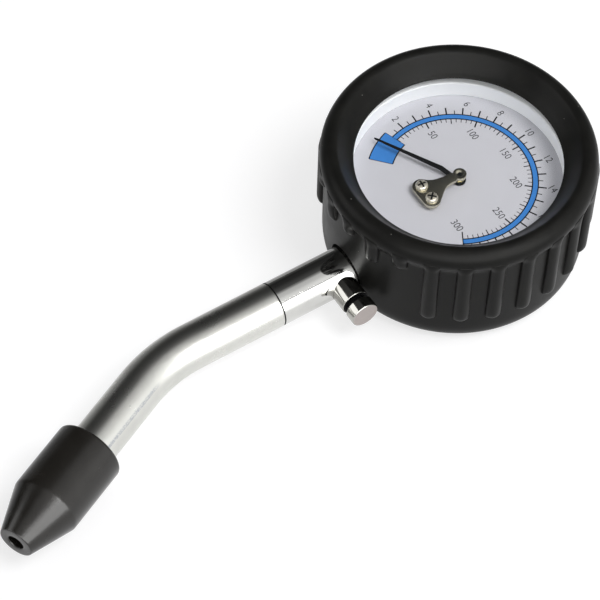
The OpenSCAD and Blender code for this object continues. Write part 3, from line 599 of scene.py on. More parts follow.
def make_finishes(colours):
    """Every finish of the tester."""
    rubber("Boot rubber", colours.boot, colours.bloom, 0.33)
    rubber("Cone rubber", colours.cone, colours.bloom, 0.2, shine=0.5)
    rubber("Seal rubber", colours.cone, colours.bloom, 0.6)
    paint("Housing black", colours.pointer, 0.45, shine=0.2)
    paint("Gasket", colours.ink, 0.7, 0.00001, shade=0.85)
    # Painted shade: black paint on the seam's groove, the collar's mouth, the gap under the button and
    # the screws' cross slots.
    paint("Seam black", colours.pointer, 0.6, shine=0.1)
    paint("Dial satin", colours.dial, 0.42, 0.000003, shade=0.965)
    # The white wall's glow is painted light, brightening it though it is no lamp.
    paint("Ring white", colours.ring, 0.5, shade=0.985, painted_glow=0.13)
    paint("Band blue", colours.band, 0.5, 0.000002, shine=0.12)
    paint("Dial ink", colours.ink, 0.6, 0.000002, shade=0.8, shine=0.05)
    paint("Pointer black", colours.pointer, 0.38, shine=0.05)
    plating = {"dull": 0.93, "fineness": 900.0, "drawn": (1, 1, 0.2), "depth": 0.0000008}
    metal("Mirror chrome", colours.chrome, smooth=0.03, rough=0.07, **plating)
    # Painted shade: the same chrome, darkened, for the collar and the button.
    metal("Dark chrome", colours.dark_chrome, smooth=0.05, rough=0.1, **plating)
    brushed = {"fineness": 1500.0, "drawn": (1, 1, 0.015), "depth": 0.000004, "patches": 90.0}
    metal("Satin tube", colours.satin, 0.9, 0.24, 0.31, run="tube_run", **brushed)
    scuff("Satin tube", "tube_run")
    metal("Turned face", colours.button_face, 0.95, 0.42, 0.5, 2600.0, (1, 1, 1), 0.000002)
    metal("Bridge steel", colours.bridge, 0.85, 0.1, 0.18, 1800.0, (0.05, 1, 1), 0.000002)
    metal("Screw nickel", colours.screw, 0.85, 0.18, 0.28, 2500.0, (1, 1, 1), metallic=0.7)
    metal("Steel", colours.steel, 0.75, 0.16, 0.3)
    metal("Blued steel", colours.blued, 0.7, 0.2, 0.3)
    metal("Pale brass", colours.pale_brass, 0.9, 0.25, 0.35)
    metal("Brass", colours.brass, 0.72, 0.16, 0.34, drawn=(0.05, 1, 1))
    metal("Bronze", colours.bronze, 0.7, 0.2, 0.38)
    clear_plastic("Clear lens")


# ---- Boot ----

COLUMNS = 6  # of the lathe, for each rib and the gap beside it
RIB_FROM, RIB_TO = 1, 4  # the columns between which a rib stands
RIB_MIDDLE = (RIB_FROM + RIB_TO) / 2 / COLUMNS
RIB_TURN = 44.5  # degrees from the stem to the first long rib
RIB_ENDS = ((36, None), (22, 29.67), (9, 25.97), (-1, 29.97))  # least turn from the stem, foot
RIB_TOP = 35.9
CROWN, SHOULDER = 0.12, -0.85  # of a rib, from the radius over the crests
LIP_FILLET, LIP_CREST = 4.6, 2.2
LIP_TURN = math.radians(60)
FOOT_CREASE, RIM_CREASE = 0.55, 0.9


def boot_profile(s):
    """The boot's section from the middle of its back, round the outside and back in."""
    side, window = s.side_radius, s.window_radius
    reach = LIP_FILLET - LIP_CREST
    fillet = (side + 1.5 - LIP_FILLET, BOOT_TOP - LIP_CREST - reach * math.sin(LIP_TURN))
    crest = (fillet[0] + reach * math.cos(LIP_TURN), fillet[1] + reach * math.sin(LIP_TURN))
    sleeve_z = RIM_Z - 6.5
    rows = [4.4, 8, s.rib_low, 12.5, 15.5, 19, 22.5, RIB_ENDS[2][1], RIB_ENDS[3][1], 31.6]
    return (
        [(0, 0), (16, 0), (side - 4.6, 0), (side - 1.25, 1.15)]
        + [(side, z) for z in rows]
        + [(side + 0.05, 32.9)]
        + arc(fillet, LIP_FILLET, -34, 50, 5)
        + arc(crest, LIP_CREST, 72, 138, 4)
        + [(window + 1.6, RIM_Z + 1.55), (window + 0.12, RIM_Z + 0.45), (window, RIM_Z + 0.25)]
        + [(window, RIM_Z), (CASE_R + 0.75, RIM_Z), (CASE_R + 0.75, sleeve_z)]
        + [(CASE_R + 0.1, sleeve_z), (CASE_R + 0.1, BOOT_BACK_Z), (0, BOOT_BACK_Z)]
    )


def rib_foot(s, turn_from_stem):
    """Height of a rib's lower end by its turn from the stem, near which the ribs are short."""
    return next(foot for least, foot in RIB_ENDS if turn_from_stem > least) or s.rib_low


def on_pitch(point, pitch):
    """A point's rib place round the boot, and how many columns past its start the point lies."""
    turned = math.degrees(math.atan2(point.y, point.x)) % 360 / pitch
    return math.floor(turned), turned % 1 * COLUMNS


def raise_ribs(boot, s, shift):
    """Extrudes the ribs out of the boot's side and rounds them. Gives the raised points' numbers."""
    pitch = 360 / s.rib_places

    def on_rib(face):
        centre = face.center
        place, column = on_pitch(centre, pitch)
        from_stem = abs(((place + RIB_MIDDLE) * pitch + shift + 90 + 180) % 360 - 180)
        outside = centre.xy.length > s.side_radius - 0.3 and face.normal.xy.dot(centre.xy) > 0
        return outside and RIB_FROM < column < RIB_TO and rib_foot(s, from_stem) < centre.z < RIB_TOP

    pick_faces(boot, on_rib)
    bpy.ops.mesh.extrude_region_move()
    leave_edit()
    raised = [v for v in boot.data.vertices if v.select]
    feet = {}
    for v in raised:
        rib, column = on_pitch(v.co, pitch)
        feet[rib] = min(v.co.z, feet.get(rib, v.co.z))
    for v in raised:
        rib, column = on_pitch(v.co, pitch)
        own_r = v.co.xy.length
        radius = s.rib_crest + (SHOULDER if round(column) in (RIB_FROM, RIB_TO) else CROWN)
        if v.co.z > RIB_TOP + 0.1:
            radius = own_r + 0.1
        if v.co.z < feet[rib] + 0.5:
            radius -= 0.45
            v.co.z += 0.25
        radius = max(radius, own_r + 0.12)
        v.co.x, v.co.y = v.co.x * radius / own_r, v.co.y * radius / own_r
    return {v.index for v in raised}


def set_creases(boot, raised):
    """Tight edges round the ribs' feet and in the rim."""
    mesh = boot.data
    crease = mesh.attributes.new("crease_edge", "FLOAT", "EDGE")
    ribbed = {
        v
        for face in mesh.polygons
        if 0 < sum(v in raised for v in face.vertices) < len(face.vertices)
        for v in face.vertices
    } - raised
    for edge in mesh.edges:
        a, b = (mesh.vertices[v].co for v in edge.vertices)
        level = abs(a.z - b.z) < 0.01 and abs(a.xy.length - b.xy.length) < 0.01
        in_rim = 0 < a.xy.length < CASE_R + 1 and BOOT_BACK_Z - 0.1 < a.z < RIM_Z + 0.3
        if all(v in ribbed for v in edge.vertices):
            crease.data[edge.index].value = FOOT_CREASE
        elif level and in_rim:
            crease.data[edge.index].value = RIM_CREASE


class TESTER_OT_boot(bpy.types.Operator):
    """Turns the rubber boot, raises its ribs and opens it for the stem"""

    bl_idname = "tester.boot"
    bl_label = "Rubber boot"

    def execute(self, context):
        s = millimetres(context)
        pitch = 360 / s.rib_places
        shift = (RIB_TURN - 90 - RIB_MIDDLE * pitch) % pitch
        boot = turn("boot", boot_profile(s), s.rib_places * COLUMNS)
        set_creases(boot, raise_ribs(boot, s, shift))
        modify(boot, "SUBSURF", levels=2, render_levels=2)
        boot.data.transform(Matrix.Rotation(math.radians(shift), 4, "Z"))
        side, opening = s.side_radius, STEM_R + 0.1
        mouth = opening + 2
        cutter = turn(
            "stem opening",
            [(0, side - 8), (opening, side - 8), (opening, side - 2), (mouth, side + 2),
             (mouth, side + 8), (0, side + 8)], 64,
        )
        cutter.data.transform(along_stem(0))
        combine(boot, cutter, "DIFFERENCE")
        settle(boot, ["Boot rubber"], ["rubber_boot"], smooth=50)
        return {"FINISHED"}


# ---- Window and dial ----


class TESTER_OT_window(bpy.types.Operator):
    """Turns the white wall round the dial and the clear lens over it"""

    bl_idname = "tester.window"
    bl_label = "Inner wall and lens"

    def execute(self, context):
        s = millimetres(context)
        wall = s.window_radius + 0.6
        seat = DIAL_R + 0.15
        ring = turn(
            "inner_wall",
            [(wall + 0.25, DIAL_Z), (wall, DIAL_Z + 0.25), (wall, RING_TOP - 0.3),
             (wall + 0.3, RING_TOP), (RING_R, RING_TOP), (RING_R, RING_TOP - 0.35),
             (seat, RING_TOP - 0.35), (seat, DIAL_Z)], 144,
        )
        settle(ring, ["Ring white"], ["inner_ring"])
        edge = 0.2
        glass = turn(
            "clear_lens",
            [(0, LENS_LOW), (LENS_R - edge, LENS_LOW), (LENS_R, LENS_LOW + edge),
             (LENS_R, LENS_TOP - edge), (LENS_R - edge, LENS_TOP), (0, LENS_TOP)], 144,
        )
        settle(glass, ["Clear lens"], ["lens"], smooth=20)
        return {"FINISHED"}


ZERO = -120.0  # clock angle of zero
BAR_STEP = 80 / 7  # degrees for one step of the outer scale
PSI_STEP = 0.8  # degrees for one unit of the inner scale
INK = 0.025  # thickness of the print
LINE = 0.34  # width of the printed outlines
BLOCK = (-132.4, -108.57)  # clock angles of the zero block's ends
BLOCK_IN, BLOCK_OUT = 18.3, 25.15
END_IN, END_OUT = 18.6, 25.2  # the line that closes the band
OUTER_FIGURES_R, INNER_FIGURES_R = 26.65, 16.4
FIGURE_WIDTH, FIGURE_THINNED = 0.86, -0.025
OUTER_OFF = {2: 0.9, 4: 1.5, 6: 2.0, 8: 0.6}  # degrees that numbers stand off their marks
INNER_OFF = {200: -2.6, 300: 4.6}


def at_clock(angle, radius=0.0, upright=False):
    """A place on the dial at a clock angle and radius, its +Y outwards or kept upright."""
    a = math.radians(angle)
    shift = Matrix.Translation((radius * math.sin(a), radius * math.cos(a), DIAL_Z))
    return shift if upright else shift @ Matrix.Rotation(-a, 4, "Z")


def ring_piece(name, inside, outside, ends, thickness):
    """Part of a flat ring on the dial, between two clock angles."""
    start, end = ends
    steps = max(2, round((end - start) / 2))
    out = arc((0, 0), outside, 90 - start, 90 - end, steps)
    back = arc((0, 0), inside, 90 - end, 90 - start, steps)
    return plate(name, out + back, DIAL_Z, DIAL_Z + thickness)


def marks(name, length, width, inner_radius, angles):
    """Copies of one straight printed mark, from the inner radius outwards, at the clock angles."""
    half, tip = width / 2, inner_radius + length
    outline = [(-half, inner_radius), (half, inner_radius), (half, tip), (-half, tip)]
    return copies(plate(name, outline, 0, INK), [at_clock(a) for a in angles], name)


def figures(name, height, radius, numbers):
    """The dial's numbers, upright, each given with its clock angle."""
    narrow = Matrix.Scale(FIGURE_WIDTH, 4, (1, 0, 0))
    made = []
    for text, angle in numbers:
        deselect()
        bpy.ops.object.text_add()
        letter = bpy.context.object.data
        letter.body = str(text)
        letter.size = height
        letter.align_x = letter.align_y = "CENTER"
        letter.extrude = INK / 2
        letter.offset = FIGURE_THINNED
        letter.resolution_u = 4
        bpy.ops.object.convert(target="MESH")
        made.append(bpy.context.object)
        made[-1].data.transform(narrow)
        made[-1].data.transform(at_clock(angle, radius, True) @ Matrix.Translation((0, 0, INK / 2)))
    return joined(made, name)


class TESTER_OT_dial(bpy.types.Operator):
    """Prints the dial: blue band, zero block, two scales and their numbers"""

    bl_idname = "tester.dial"
    bl_label = "Dial print"

    def execute(self, context):
        s = millimetres(context)
        self.print_band(s)
        self.print_scales(s)
        self.print_numbers(s)
        return {"FINISHED"}

    def print_band(self, s):
        """The blue band and the zero block, with their black outlines."""
        inside, outside, sweep = s.band_inside, s.band_outside, (ZERO, -ZERO)
        band = ring_piece("dial_band", inside, outside, sweep, INK)
        block = ring_piece("zero_block", BLOCK_IN, BLOCK_OUT, BLOCK, INK + 0.005)
        for piece in (band, block):
            settle(piece, ["Band blue"])
        rims = [
            ring_piece("rim", r, r + LINE, sweep, INK + 0.003)
            for r in (inside - 0.06, outside + 0.06 - LINE)
        ]
        rims += [
            ring_piece("rim", r - LINE / 2, r + LINE / 2, BLOCK, INK + 0.008)
            for r in (BLOCK_IN, BLOCK_OUT)
        ]
        rims.append(marks("rim", BLOCK_OUT - BLOCK_IN, LINE, BLOCK_IN, BLOCK))
        rims.append(marks("rim", END_OUT - END_IN, 0.32, END_IN, (-ZERO,)))
        settle(joined(rims, "band_outline"), ["Dial ink"])

    def print_scales(self, s):
        """The marks outside and inside the band: share of a long mark's length, width and places."""
        outer = (
            (1, 0.42, [ZERO + BAR_STEP * i for i in range(2, 22)]),
            (0.55, 0.24, [ZERO + BAR_STEP * (i + 0.5) for i in range(1, 21)]),
        )
        inner = (
            (0.9, 0.4, [ZERO + PSI_STEP * v for v in range(50, 300, 50)]),
            (0.75, 0.28, [ZERO + PSI_STEP * v for v in range(25, 300, 50)]),
            (0.5, 0.2, [ZERO + PSI_STEP * v for v in range(15, 300, 5) if v % 25]),
        )
        scale = [
            marks("outer", s.tick_length * share, width, s.band_outside, angles)
            for share, width, angles in outer
        ]
        scale += [
            marks("inner", s.tick_length * share, width, s.band_inside - s.tick_length * share, angles)
            for share, width, angles in inner
        ]
        settle(joined(scale, "dial_marks"), ["Dial ink"])

    def print_numbers(self, s):
        outer = [(v, ZERO + BAR_STEP * v + OUTER_OFF.get(v, 0)) for v in range(2, 21, 2)]
        inner = [(v, ZERO + PSI_STEP * v + INNER_OFF.get(v, 0)) for v in range(50, 301, 50)]
        numbers = [
            figures("outer", s.figure_height, OUTER_FIGURES_R, outer),
            figures("inner", s.figure_height, INNER_FIGURES_R, inner),
        ]
        settle(joined(numbers, "dial_numbers"), ["Dial ink"])


# ---- Bridge ----

BRIDGE_THICK = 1.0
BOSS_R, FOOT_R = 1.9, 2.6
WAIST = [
    (1.52, -2.4), (1.46, -3.4), (1.5, -4.4), (1.68, -5.4), (2.05, -6.3), (2.65, -7.2), (3.4, -8.15),
    (4.15, -9.0),
]
STEP_Y, STEP_LENGTH = -5.2, 2.9  # where the leg steps down to its foot
FOOT_TOP = DIAL_Z + 2.2
POST_R, POST_BORE = 1.75, 1.1
PIVOT_R, PIVOT_MOUTH = 0.55, 1.3
SLOT_HALF, SLOT_REACH, SLOT_DEPTH = 0.26, 1.3, 0.8
SIDES = (-1, 1)  # left and right of the bridge


def bridge_blank():
    """The bridge's strip, its outline mirrored and its leg stepped down to the foot."""
    boss = arc((0, 0), BOSS_R, 90, -52, 12)
    foot = arc((SCREWS_APART, SCREWS_Y), FOOT_R, 32, -90, 9)
    bridge = draw_line("bridge", [(x, y, BRIDGE_TOP) for x, y in boss + WAIST + foot])
    bpy.ops.mesh.duplicate()
    bpy.ops.transform.resize(value=(-1, 1, 1), center_override=(0, 0, 0))
    select_everything()
    bpy.ops.mesh.bridge_edge_loops()
    select_everything()
    bpy.ops.mesh.remove_doubles(threshold=MERGE)
    leave_edit()
    for v in bridge.data.vertices:
        down = min(1, max(0, (STEP_Y - v.co.y) / STEP_LENGTH))
        v.co.z -= (BRIDGE_TOP - FOOT_TOP) * down * down * (3 - 2 * down)
    edit()
    select_everything()
    extrude((0, 0, -BRIDGE_THICK))
    clean_normals()
    return bridge


def screw_head():
    """A raised screw head with a cross slot, and its shank."""
    radius, height = SCREW_R, SCREWS_TOP - FOOT_TOP
    head = turn(
        "screw",
        [(0, SCREWS_LOW), (1, SCREWS_LOW), (1, FOOT_TOP + 0.02), (radius - 0.1, FOOT_TOP + 0.02),
         (radius, FOOT_TOP + 0.15), (radius, FOOT_TOP + height * 0.42),
         (radius * 0.92, FOOT_TOP + height * 0.68), (radius * 0.7, FOOT_TOP + height * 0.9),
         (radius * 0.4, SCREWS_TOP - 0.02), (0, SCREWS_TOP)], 48,
    )
    wing = [(SLOT_HALF, -SLOT_REACH), (SLOT_HALF, -SLOT_HALF), (SLOT_REACH, -SLOT_HALF)]
    turns = ((1, 0), (0, 1), (-1, 0), (0, -1))
    cross = [(x * c - y * s, x * s + y * c) for c, s in turns for x, y in wing]
    combine(head, plate("cross", cross, SCREWS_TOP - SLOT_DEPTH, SCREWS_TOP + 0.5), "DIFFERENCE")

    # The slot's floor and sides take black painted shade.
    def in_slot(face):
        bottom = face.center.z < SCREWS_TOP - 0.6 and face.normal.z > 0.99
        side = abs(face.normal.z) < 0.1
        return (bottom or side) and face.center.xy.length < SLOT_REACH + 0.1

    choose_finish(head, in_slot)
    return head


class TESTER_OT_bridge(bpy.types.Operator):
    """Shapes the polished bridge over the pointer and its two cross-head screws"""

    bl_idname = "tester.bridge"
    bl_label = "Front bridge and screws"

    def execute(self, context):
        bridge = bridge_blank()
        top = BRIDGE_TOP
        sink = turn(
            "pivot hole",
            [(0, top - 2), (PIVOT_R, top - 2), (PIVOT_R, top - 0.32), (PIVOT_MOUTH, top + 0.02),
             (PIVOT_MOUTH, top + 1), (0, top + 1)], 48,
        )
        combine(bridge, sink, "DIFFERENCE")
        modify(
            bridge, "BEVEL", width=0.3, segments=3, limit_method="ANGLE", angle_limit=math.radians(40),
            harden_normals=False,
        )
        post = turn(
            "post",
            [(POST_BORE, DIAL_Z), (POST_R, DIAL_Z), (POST_R, FOOT_TOP - 0.4),
             (POST_BORE, FOOT_TOP - 0.4)], 48,
        )
        feet = [Matrix.Translation((side * SCREWS_APART, SCREWS_Y, 0)) for side in SIDES]
        combine(bridge, copies(post, feet, "posts"), "UNION")
        middle = Matrix.Translation((ARBOUR_X, 0, 0))
        settle(bridge, ["Bridge steel"], ["front_bridge"], middle, 30)
        head = screw_head()
        finishes = ["Screw nickel", "Seam black"]
        give_finishes(head, finishes)
        places = [
            Matrix.Translation((ARBOUR_X + side * SCREWS_APART, SCREWS_Y, 0))
            @ Matrix.Rotation(math.radians(20 + 25 * side), 4, "Z")
            for side in SIDES
        ]
        screws = copies(head, places, "bridge_cross_screws")
        settle(screws, finishes, ["bridge_screws"])
        return {"FINISHED"}


# ---- Stem ----

BODY_BORE, BODY_SEAT = 4.9, 12.0  # the connector's wide end: its radius and depth
GAS_BORE = 1.5
SEAM_GROOVE = 0.2
COLLAR_WALL = 2.85  # inner radius of the collar's mouth
COLLAR_FOOT = 5.05  # where the collar leaves the connector
PIN_R, NECK_R = 0.85, 2.8  # of the button's plunger and of its neck
BUTTON_GAP = 1.6
TUBE_EDGE = 0.15
BEND_STEPS, STRAIGHT_STEPS = 24, 4
CONE_TIP_R, CONE_BORE, TIP_EDGE = 5.1, 2.35, 0.45
VALVE_R, VALVE_FROM, VALVE_TO = 3.65, 14.95, 27.45  # the check valve's room in the cone


class TESTER_OT_connector(bpy.types.Operator):
    """Turns the chrome connector with the seat of its release valve, and the valve's collar"""

    bl_idname = "tester.connector"
    bl_label = "Connector and collar"

    def execute(self, context):
        self.turn_connector(millimetres(context))
        self.turn_collar()
        return {"FINISHED"}

    def turn_connector(self, s):
        """The connector, with black painted shade in the groove where the tube begins."""
        spigot_r = STEM_R - s.tube_wall - CLEAR
        length, tail = SEAM - CONNECTOR_START, SPIGOT_END - CONNECTOR_START
        rings = [(STEM_R, 0.3 + (length - 0.6) * i / 16) for i in range(17)]
        body = turn(
            "connector",
            [(BODY_BORE, 0), (STEM_R - 0.3, 0)] + rings
            + [(STEM_R - SEAM_GROOVE, length), (spigot_r, length), (spigot_r, tail - 0.4),
               (spigot_r - 0.4, tail), (GAS_BORE, tail), (GAS_BORE, BODY_SEAT), (BODY_BORE, BODY_SEAT)],
            160,
        )
        body.data.transform(along_stem(CONNECTOR_START))
        seat_r = BUTTON_R + CLEAR
        seat = turn("seat", [(0, 5), (seat_r, 5), (seat_r, 12), (0, 12)], 96)
        seat.data.transform(along_button(0))
        combine(body, seat, "DIFFERENCE")

        # The groove's faces take black painted shade.
        def in_seam(face):
            from_axis = math.hypot(face.center.x, face.center.z - STEM_Z)
            return -0.02 < SEAM + face.center.y < 0.29 and from_axis > STEM_R - SEAM_GROOVE - 0.05

        choose_finish(body, in_seam)
        finishes = ["Mirror chrome", "Seam black"]
        settle(body, finishes, ["connector_body"], smooth=30)

    def turn_collar(self):
        """The release valve's collar, with black painted shade inside its mouth."""
        edge, throat = 0.22, COLLAR_END - 4.7
        collar = turn(
            "release_collar",
            [(1, COLLAR_SEAT), (3, COLLAR_SEAT), (3, COLLAR_FOOT), (BUTTON_R, COLLAR_FOOT),
             (BUTTON_R, COLLAR_END - edge)]
            + arc((BUTTON_R - edge, COLLAR_END - edge), edge, 0, 90, 4)[1:]
            + [(COLLAR_WALL + 0.15, COLLAR_END), (COLLAR_WALL, COLLAR_END - 0.15),
               (COLLAR_WALL, throat), (1, throat)], 128,
        )

        # The mouth's faces take black painted shade.
        def in_mouth(face):
            return face.center.xy.length < BUTTON_R - edge - 0.1 and face.center.z > COLLAR_END - 5

        choose_finish(collar, in_mouth)
        finishes = ["Dark chrome", "Seam black"]
        settle(collar, finishes, ["valve_collar"], along_button(0), 30)


class TESTER_OT_button(bpy.types.Operator):
    """Turns the release button with its plain end face"""

    bl_idname = "tester.button"
    bl_label = "Release button"

    def execute(self, context):
        cap_x = COLLAR_END + BUTTON_GAP
        edge, core = 0.35, CAP_END - 2.6
        profile = (
            [(PIN_R, BOSS_X), (NECK_R - 0.15, BOSS_X), (NECK_R, BOSS_X + 0.15), (NECK_R, cap_x)]
            + [(BUTTON_R - 0.2, cap_x), (BUTTON_R, cap_x + 0.2), (BUTTON_R, CAP_END - edge)]
            + arc((BUTTON_R - edge, CAP_END - edge), edge, 0, 80, 4)[1:]
            + [(BUTTON_R - edge - 0.12, CAP_END), (0, CAP_END), (0, core), (PIN_R, core)]
        )
        button = turn("release_button", profile, 128)

        # The end face takes its turned finish; the faces in the gap take black painted shade.
        def end_or_gap(face):
            in_gap = face.center.z < cap_x + 0.1 and face.center.xy.length < BUTTON_R - 0.3
            return 1 if face.center.z > CAP_END - 0.01 else 2 if in_gap else 0

        choose_finish(button, end_or_gap)
        finishes = ["Dark chrome", "Turned face", "Seam black"]
        place = along_button(0)
        settle(button, finishes, ["button_head_cap"], place, 30, "button_set")
        return {"FINISHED"}


class TESTER_OT_tube(bpy.types.Operator):
    """Draws the tube along the stem, spins its bend and draws its end"""

    bl_idname = "tester.tube"
    bl_label = "Bent tube"

    def execute(self, context):
        s = millimetres(context)
        run_in = s.bend_radius * math.tan(s.bend_angle / 2)
        bend_y = -s.bend_corner + run_in
        start_r = STEM_R - TUBE_EDGE
        deselect()
        bpy.ops.mesh.primitive_circle_add(
            vertices=128, radius=start_r, location=(0, -SEAM, STEM_Z), rotation=(math.pi / 2, 0, 0)
        )
        tube = named(bpy.context.object, "satin_tube")
        bpy.ops.object.transform_apply(location=True, rotation=True, scale=True)
        edit()
        select_everything()
        extrude((0, -TUBE_EDGE, 0))
        grow = STEM_R / start_r
        bpy.ops.transform.resize(value=(grow, 1, grow), center_override=(0, -SEAM - TUBE_EDGE, STEM_Z))
        straight = -bend_y - SEAM - TUBE_EDGE
        for _ in range(STRAIGHT_STEPS):
            extrude((0, -straight / STRAIGHT_STEPS, 0))
        pivot = Vector((s.bend_radius, bend_y, STEM_Z))
        bpy.ops.mesh.spin(steps=BEND_STEPS, angle=-s.bend_angle, center=pivot, axis=(0, 0, 1))
        way = Vector((math.sin(s.bend_angle), -math.cos(s.bend_angle), 0))
        past = s.tube_past_bend - run_in
        for _ in range(STRAIGHT_STEPS):
            extrude(way * past / STRAIGHT_STEPS)
        clean_normals()
        modify(tube, "SOLIDIFY", thickness=s.tube_wall, offset=-1)
        note_tube_run(tube, s, pivot, way)
        settle(tube, ["Satin tube"], ["bent_tube"], smooth=30)
        return {"FINISHED"}


def note_tube_run(tube, s, pivot, way):
    """Keeps where each point of the tube lay before the tube was bent, for its brushed lines."""
    run = tube.data.attributes.new("tube_run", "FLOAT_VECTOR", "POINT")
    bend_end = pivot - Vector((math.cos(s.bend_angle), math.sin(s.bend_angle), 0)) * s.bend_radius
    across_way = Vector((-way.y, way.x, 0))
    for v in tube.data.vertices:
        from_pivot, past = v.co - pivot, v.co - bend_end
        turned = math.atan2(-from_pivot.y, -from_pivot.x)
        if v.co.y > pivot.y:
            side, along = v.co.x, -v.co.y
        elif turned < s.bend_angle:
            side = s.bend_radius - from_pivot.xy.length
            along = -pivot.y + turned * s.bend_radius
        else:
            side = past.dot(across_way)
            along = -pivot.y + s.bend_angle * s.bend_radius + past.dot(way)
        run.data[v.index].vector = (side / 1000, (v.co.z - STEM_Z) / 1000, along / 1000)


class TESTER_OT_cone(bpy.types.Operator):
    """Turns the rubber cone with its bored tip"""

    bl_idname = "tester.cone"
    bl_label = "Rubber cone"

    def execute(self, context):
        s = millimetres(context)
        length, sleeve = s.cone_length, STEM_R + CLEAR
        profile = (
            [(sleeve + 0.35, 0)]
            + arc((s.cone_radius - 1, 1), 1, -90, 0, 5)
            + [(s.cone_radius, 6), (s.cone_radius, 13), (s.cone_radius, 18)]
            + arc((s.cone_radius - 3, length - 13.8), 3, 0, 20, 5)
            + arc((CONE_TIP_R - TIP_EDGE, length - TIP_EDGE), TIP_EDGE, 20, 90, 5)
            + arc((CONE_BORE + 0.3, length - 0.3), 0.3, 90, 180, 3)
            + [(CONE_BORE, VALVE_TO), (VALVE_R, VALVE_TO), (VALVE_R, VALVE_FROM), (sleeve, VALVE_FROM)]
            + [(sleeve, 0.4)]
        )
        cone = turn("cone", profile, 128)
        place = past_bend(s, s.cone_start)
        settle(cone, ["Cone rubber"], ["rubber_cone"], place)
        return {"FINISHED"}


# ---- Pieces carried over from the frame ----

CARRIED = {
    "Housing black": ["gauge_case", "bezel_ring"],
    "Gasket": ["lens_gasket"],
    "Dial satin": ["dial_plate"],
    "Pointer black": ["pointer"],
    "Pale brass": ["pointer_hub"],
    "Brass": [
        "hairspring_stud", "front_plate", "back_plate", "plate_pillars", "sector_gear",
        "tip_block", "gauge_socket", "release_plunger", "valve_body", "valve_retainer", "valve_poppet",
    ],
    "Bronze": ["hairspring", "bourdon_tube", "stub_washer"],
    "Blued steel": ["pointer_arbour"],
    "Steel": [
        "plate_screws", "sector_arbour", "tail_pin", "link", "tip_pin", "socket_screws",
        "release_spring", "valve_spring",
    ],
    "Seal rubber": ["spigot_ring", "release_seal", "poppet_seal"],
}


class TESTER_OT_carried(bpy.types.Operator):
    """Gives the frame's own pieces their finishes"""

    bl_idname = "tester.carried"
    bl_label = "Finishes of the works"

    def execute(self, context):
        for finish, nodes in CARRIED.items():
            for name in nodes:
                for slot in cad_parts[name].material_slots:
                    slot.material = FINISHES[finish]
        return {"FINISHED"}


# ---- Stage ----

CAMERA_PLACE = (0.36396, -0.29705, 0.63256)
CAMERA_RIGHT = (0.53958, 0.84177, 0.01666)
CAMERA_AHEAD = (-0.47558, 0.32107, -0.81898)
CAMERA_LENS = 165.31
SENSOR = 36.0
FLOOR_RADIUS, FLOOR_Z = 0.3, -0.00005
FLOOR_GLOW, REFLECTED, FILL = 0.7, 1.6, 0.48
LAMP_PLACE, LAMP_SIZE, LAMP_POWER = (0.35, 0.2, 0.75), 0.5, 4.9
SOFTBOXES = (  # direction, half width in degrees, brightness
    ((0.52, 0.79, 0.30), 15, 0.15),
    ((0.64, 0.20, 0.74), 6, 10.0),
    ((-0.476, -0.78, 0.41), 20, 1.4),
)
TENT = (  # brightness of the studio from the 9 o'clock side to the other
    (0.0, 0.15), (0.035, 0.03), (0.05, 0.012), (0.1, 0.016), (0.17, 0.018), (0.262, 0.036),
    (0.376, 0.06), (0.46, 0.24), (0.5, 0.41), (0.62, 0.48), (0.735, 0.66), (0.82, 0.7), (0.836, 1.0),
    (1.0, 1.0),
)


def add_camera():
    ahead = Vector(CAMERA_AHEAD).normalized()
    right = (Vector(CAMERA_RIGHT) - ahead * ahead.dot(Vector(CAMERA_RIGHT))).normalized()
    turned = Matrix((right, right.cross(ahead), -ahead)).transposed().to_4x4()
    camera = bpy.data.objects.new("camera", bpy.data.cameras.new("camera"))
    camera.data.lens = CAMERA_LENS
    camera.data.sensor_width = SENSOR
    camera.data.sensor_fit = "HORIZONTAL"
    camera.data.clip_start = 0.01
    camera.matrix_world = Matrix.Translation(CAMERA_PLACE) @ turned
    bpy.context.collection.objects.link(camera)
    bpy.context.scene.camera = camera


def floor_paint(base):
    """A pale floor that lights up for the camera, and for reflections less at a glancing view."""
    tree, shader, place = blank_finish("Pale floor")
    texture = use_group(tree, moulded_grain, {"Place": place, "Grain size": 120.0})
    rays = node(tree, "ShaderNodeLightPath").outputs
    grazing = node(tree, "ShaderNodeLayerWeight", {"Blend": 0.5}).outputs["Facing"]
    dim = ramp(tree, grazing, (0.13, 1.0), (0.3, 0.85), (0.5, 0.5), (0.74, 0.1), (1.0, 0.0))
    across = plus(tree, times(tree, parts_of(tree, place)["X"], 20.0), 0.5)
    right_side = ramp(tree, across, (0.45, 0.0), (0.65, 1.0))
    mirrored = times(tree, rays["Is Glossy Ray"], most(tree, dim, right_side))
    seen = most(tree, rays["Is Camera Ray"], mirrored, rays["Is Transmission Ray"])
    feed(tree, shader, {
        "Base Color": mix_colour(tree, texture["Patches"], rgba(base), rgba(base, 0.985)),
        "Roughness": 0.9, "Specular IOR Level": 0.1,
        "Emission Color": WHITE, "Emission Strength": times(tree, seen, FLOOR_GLOW),
    })


def add_floor(colours):
    """A thin round floor with a slightly raised rim, just under the boot's back."""
    deselect()
    bpy.ops.mesh.primitive_circle_add(
        vertices=96, radius=FLOOR_RADIUS, location=(0, 0, 0), fill_type="NGON"
    )
    floor = named(bpy.context.object, "floor")
    edit("FACE")
    select_everything()
    bpy.ops.mesh.inset(thickness=0.02)
    bpy.ops.transform.translate(value=(0, 0, FLOOR_Z))
    leave_edit()
    floor.data.transform(Matrix.Translation((0, -0.05, FLOOR_Z)))
    floor_paint(colours.floor)
    give_finishes(floor, ["Pale floor"])


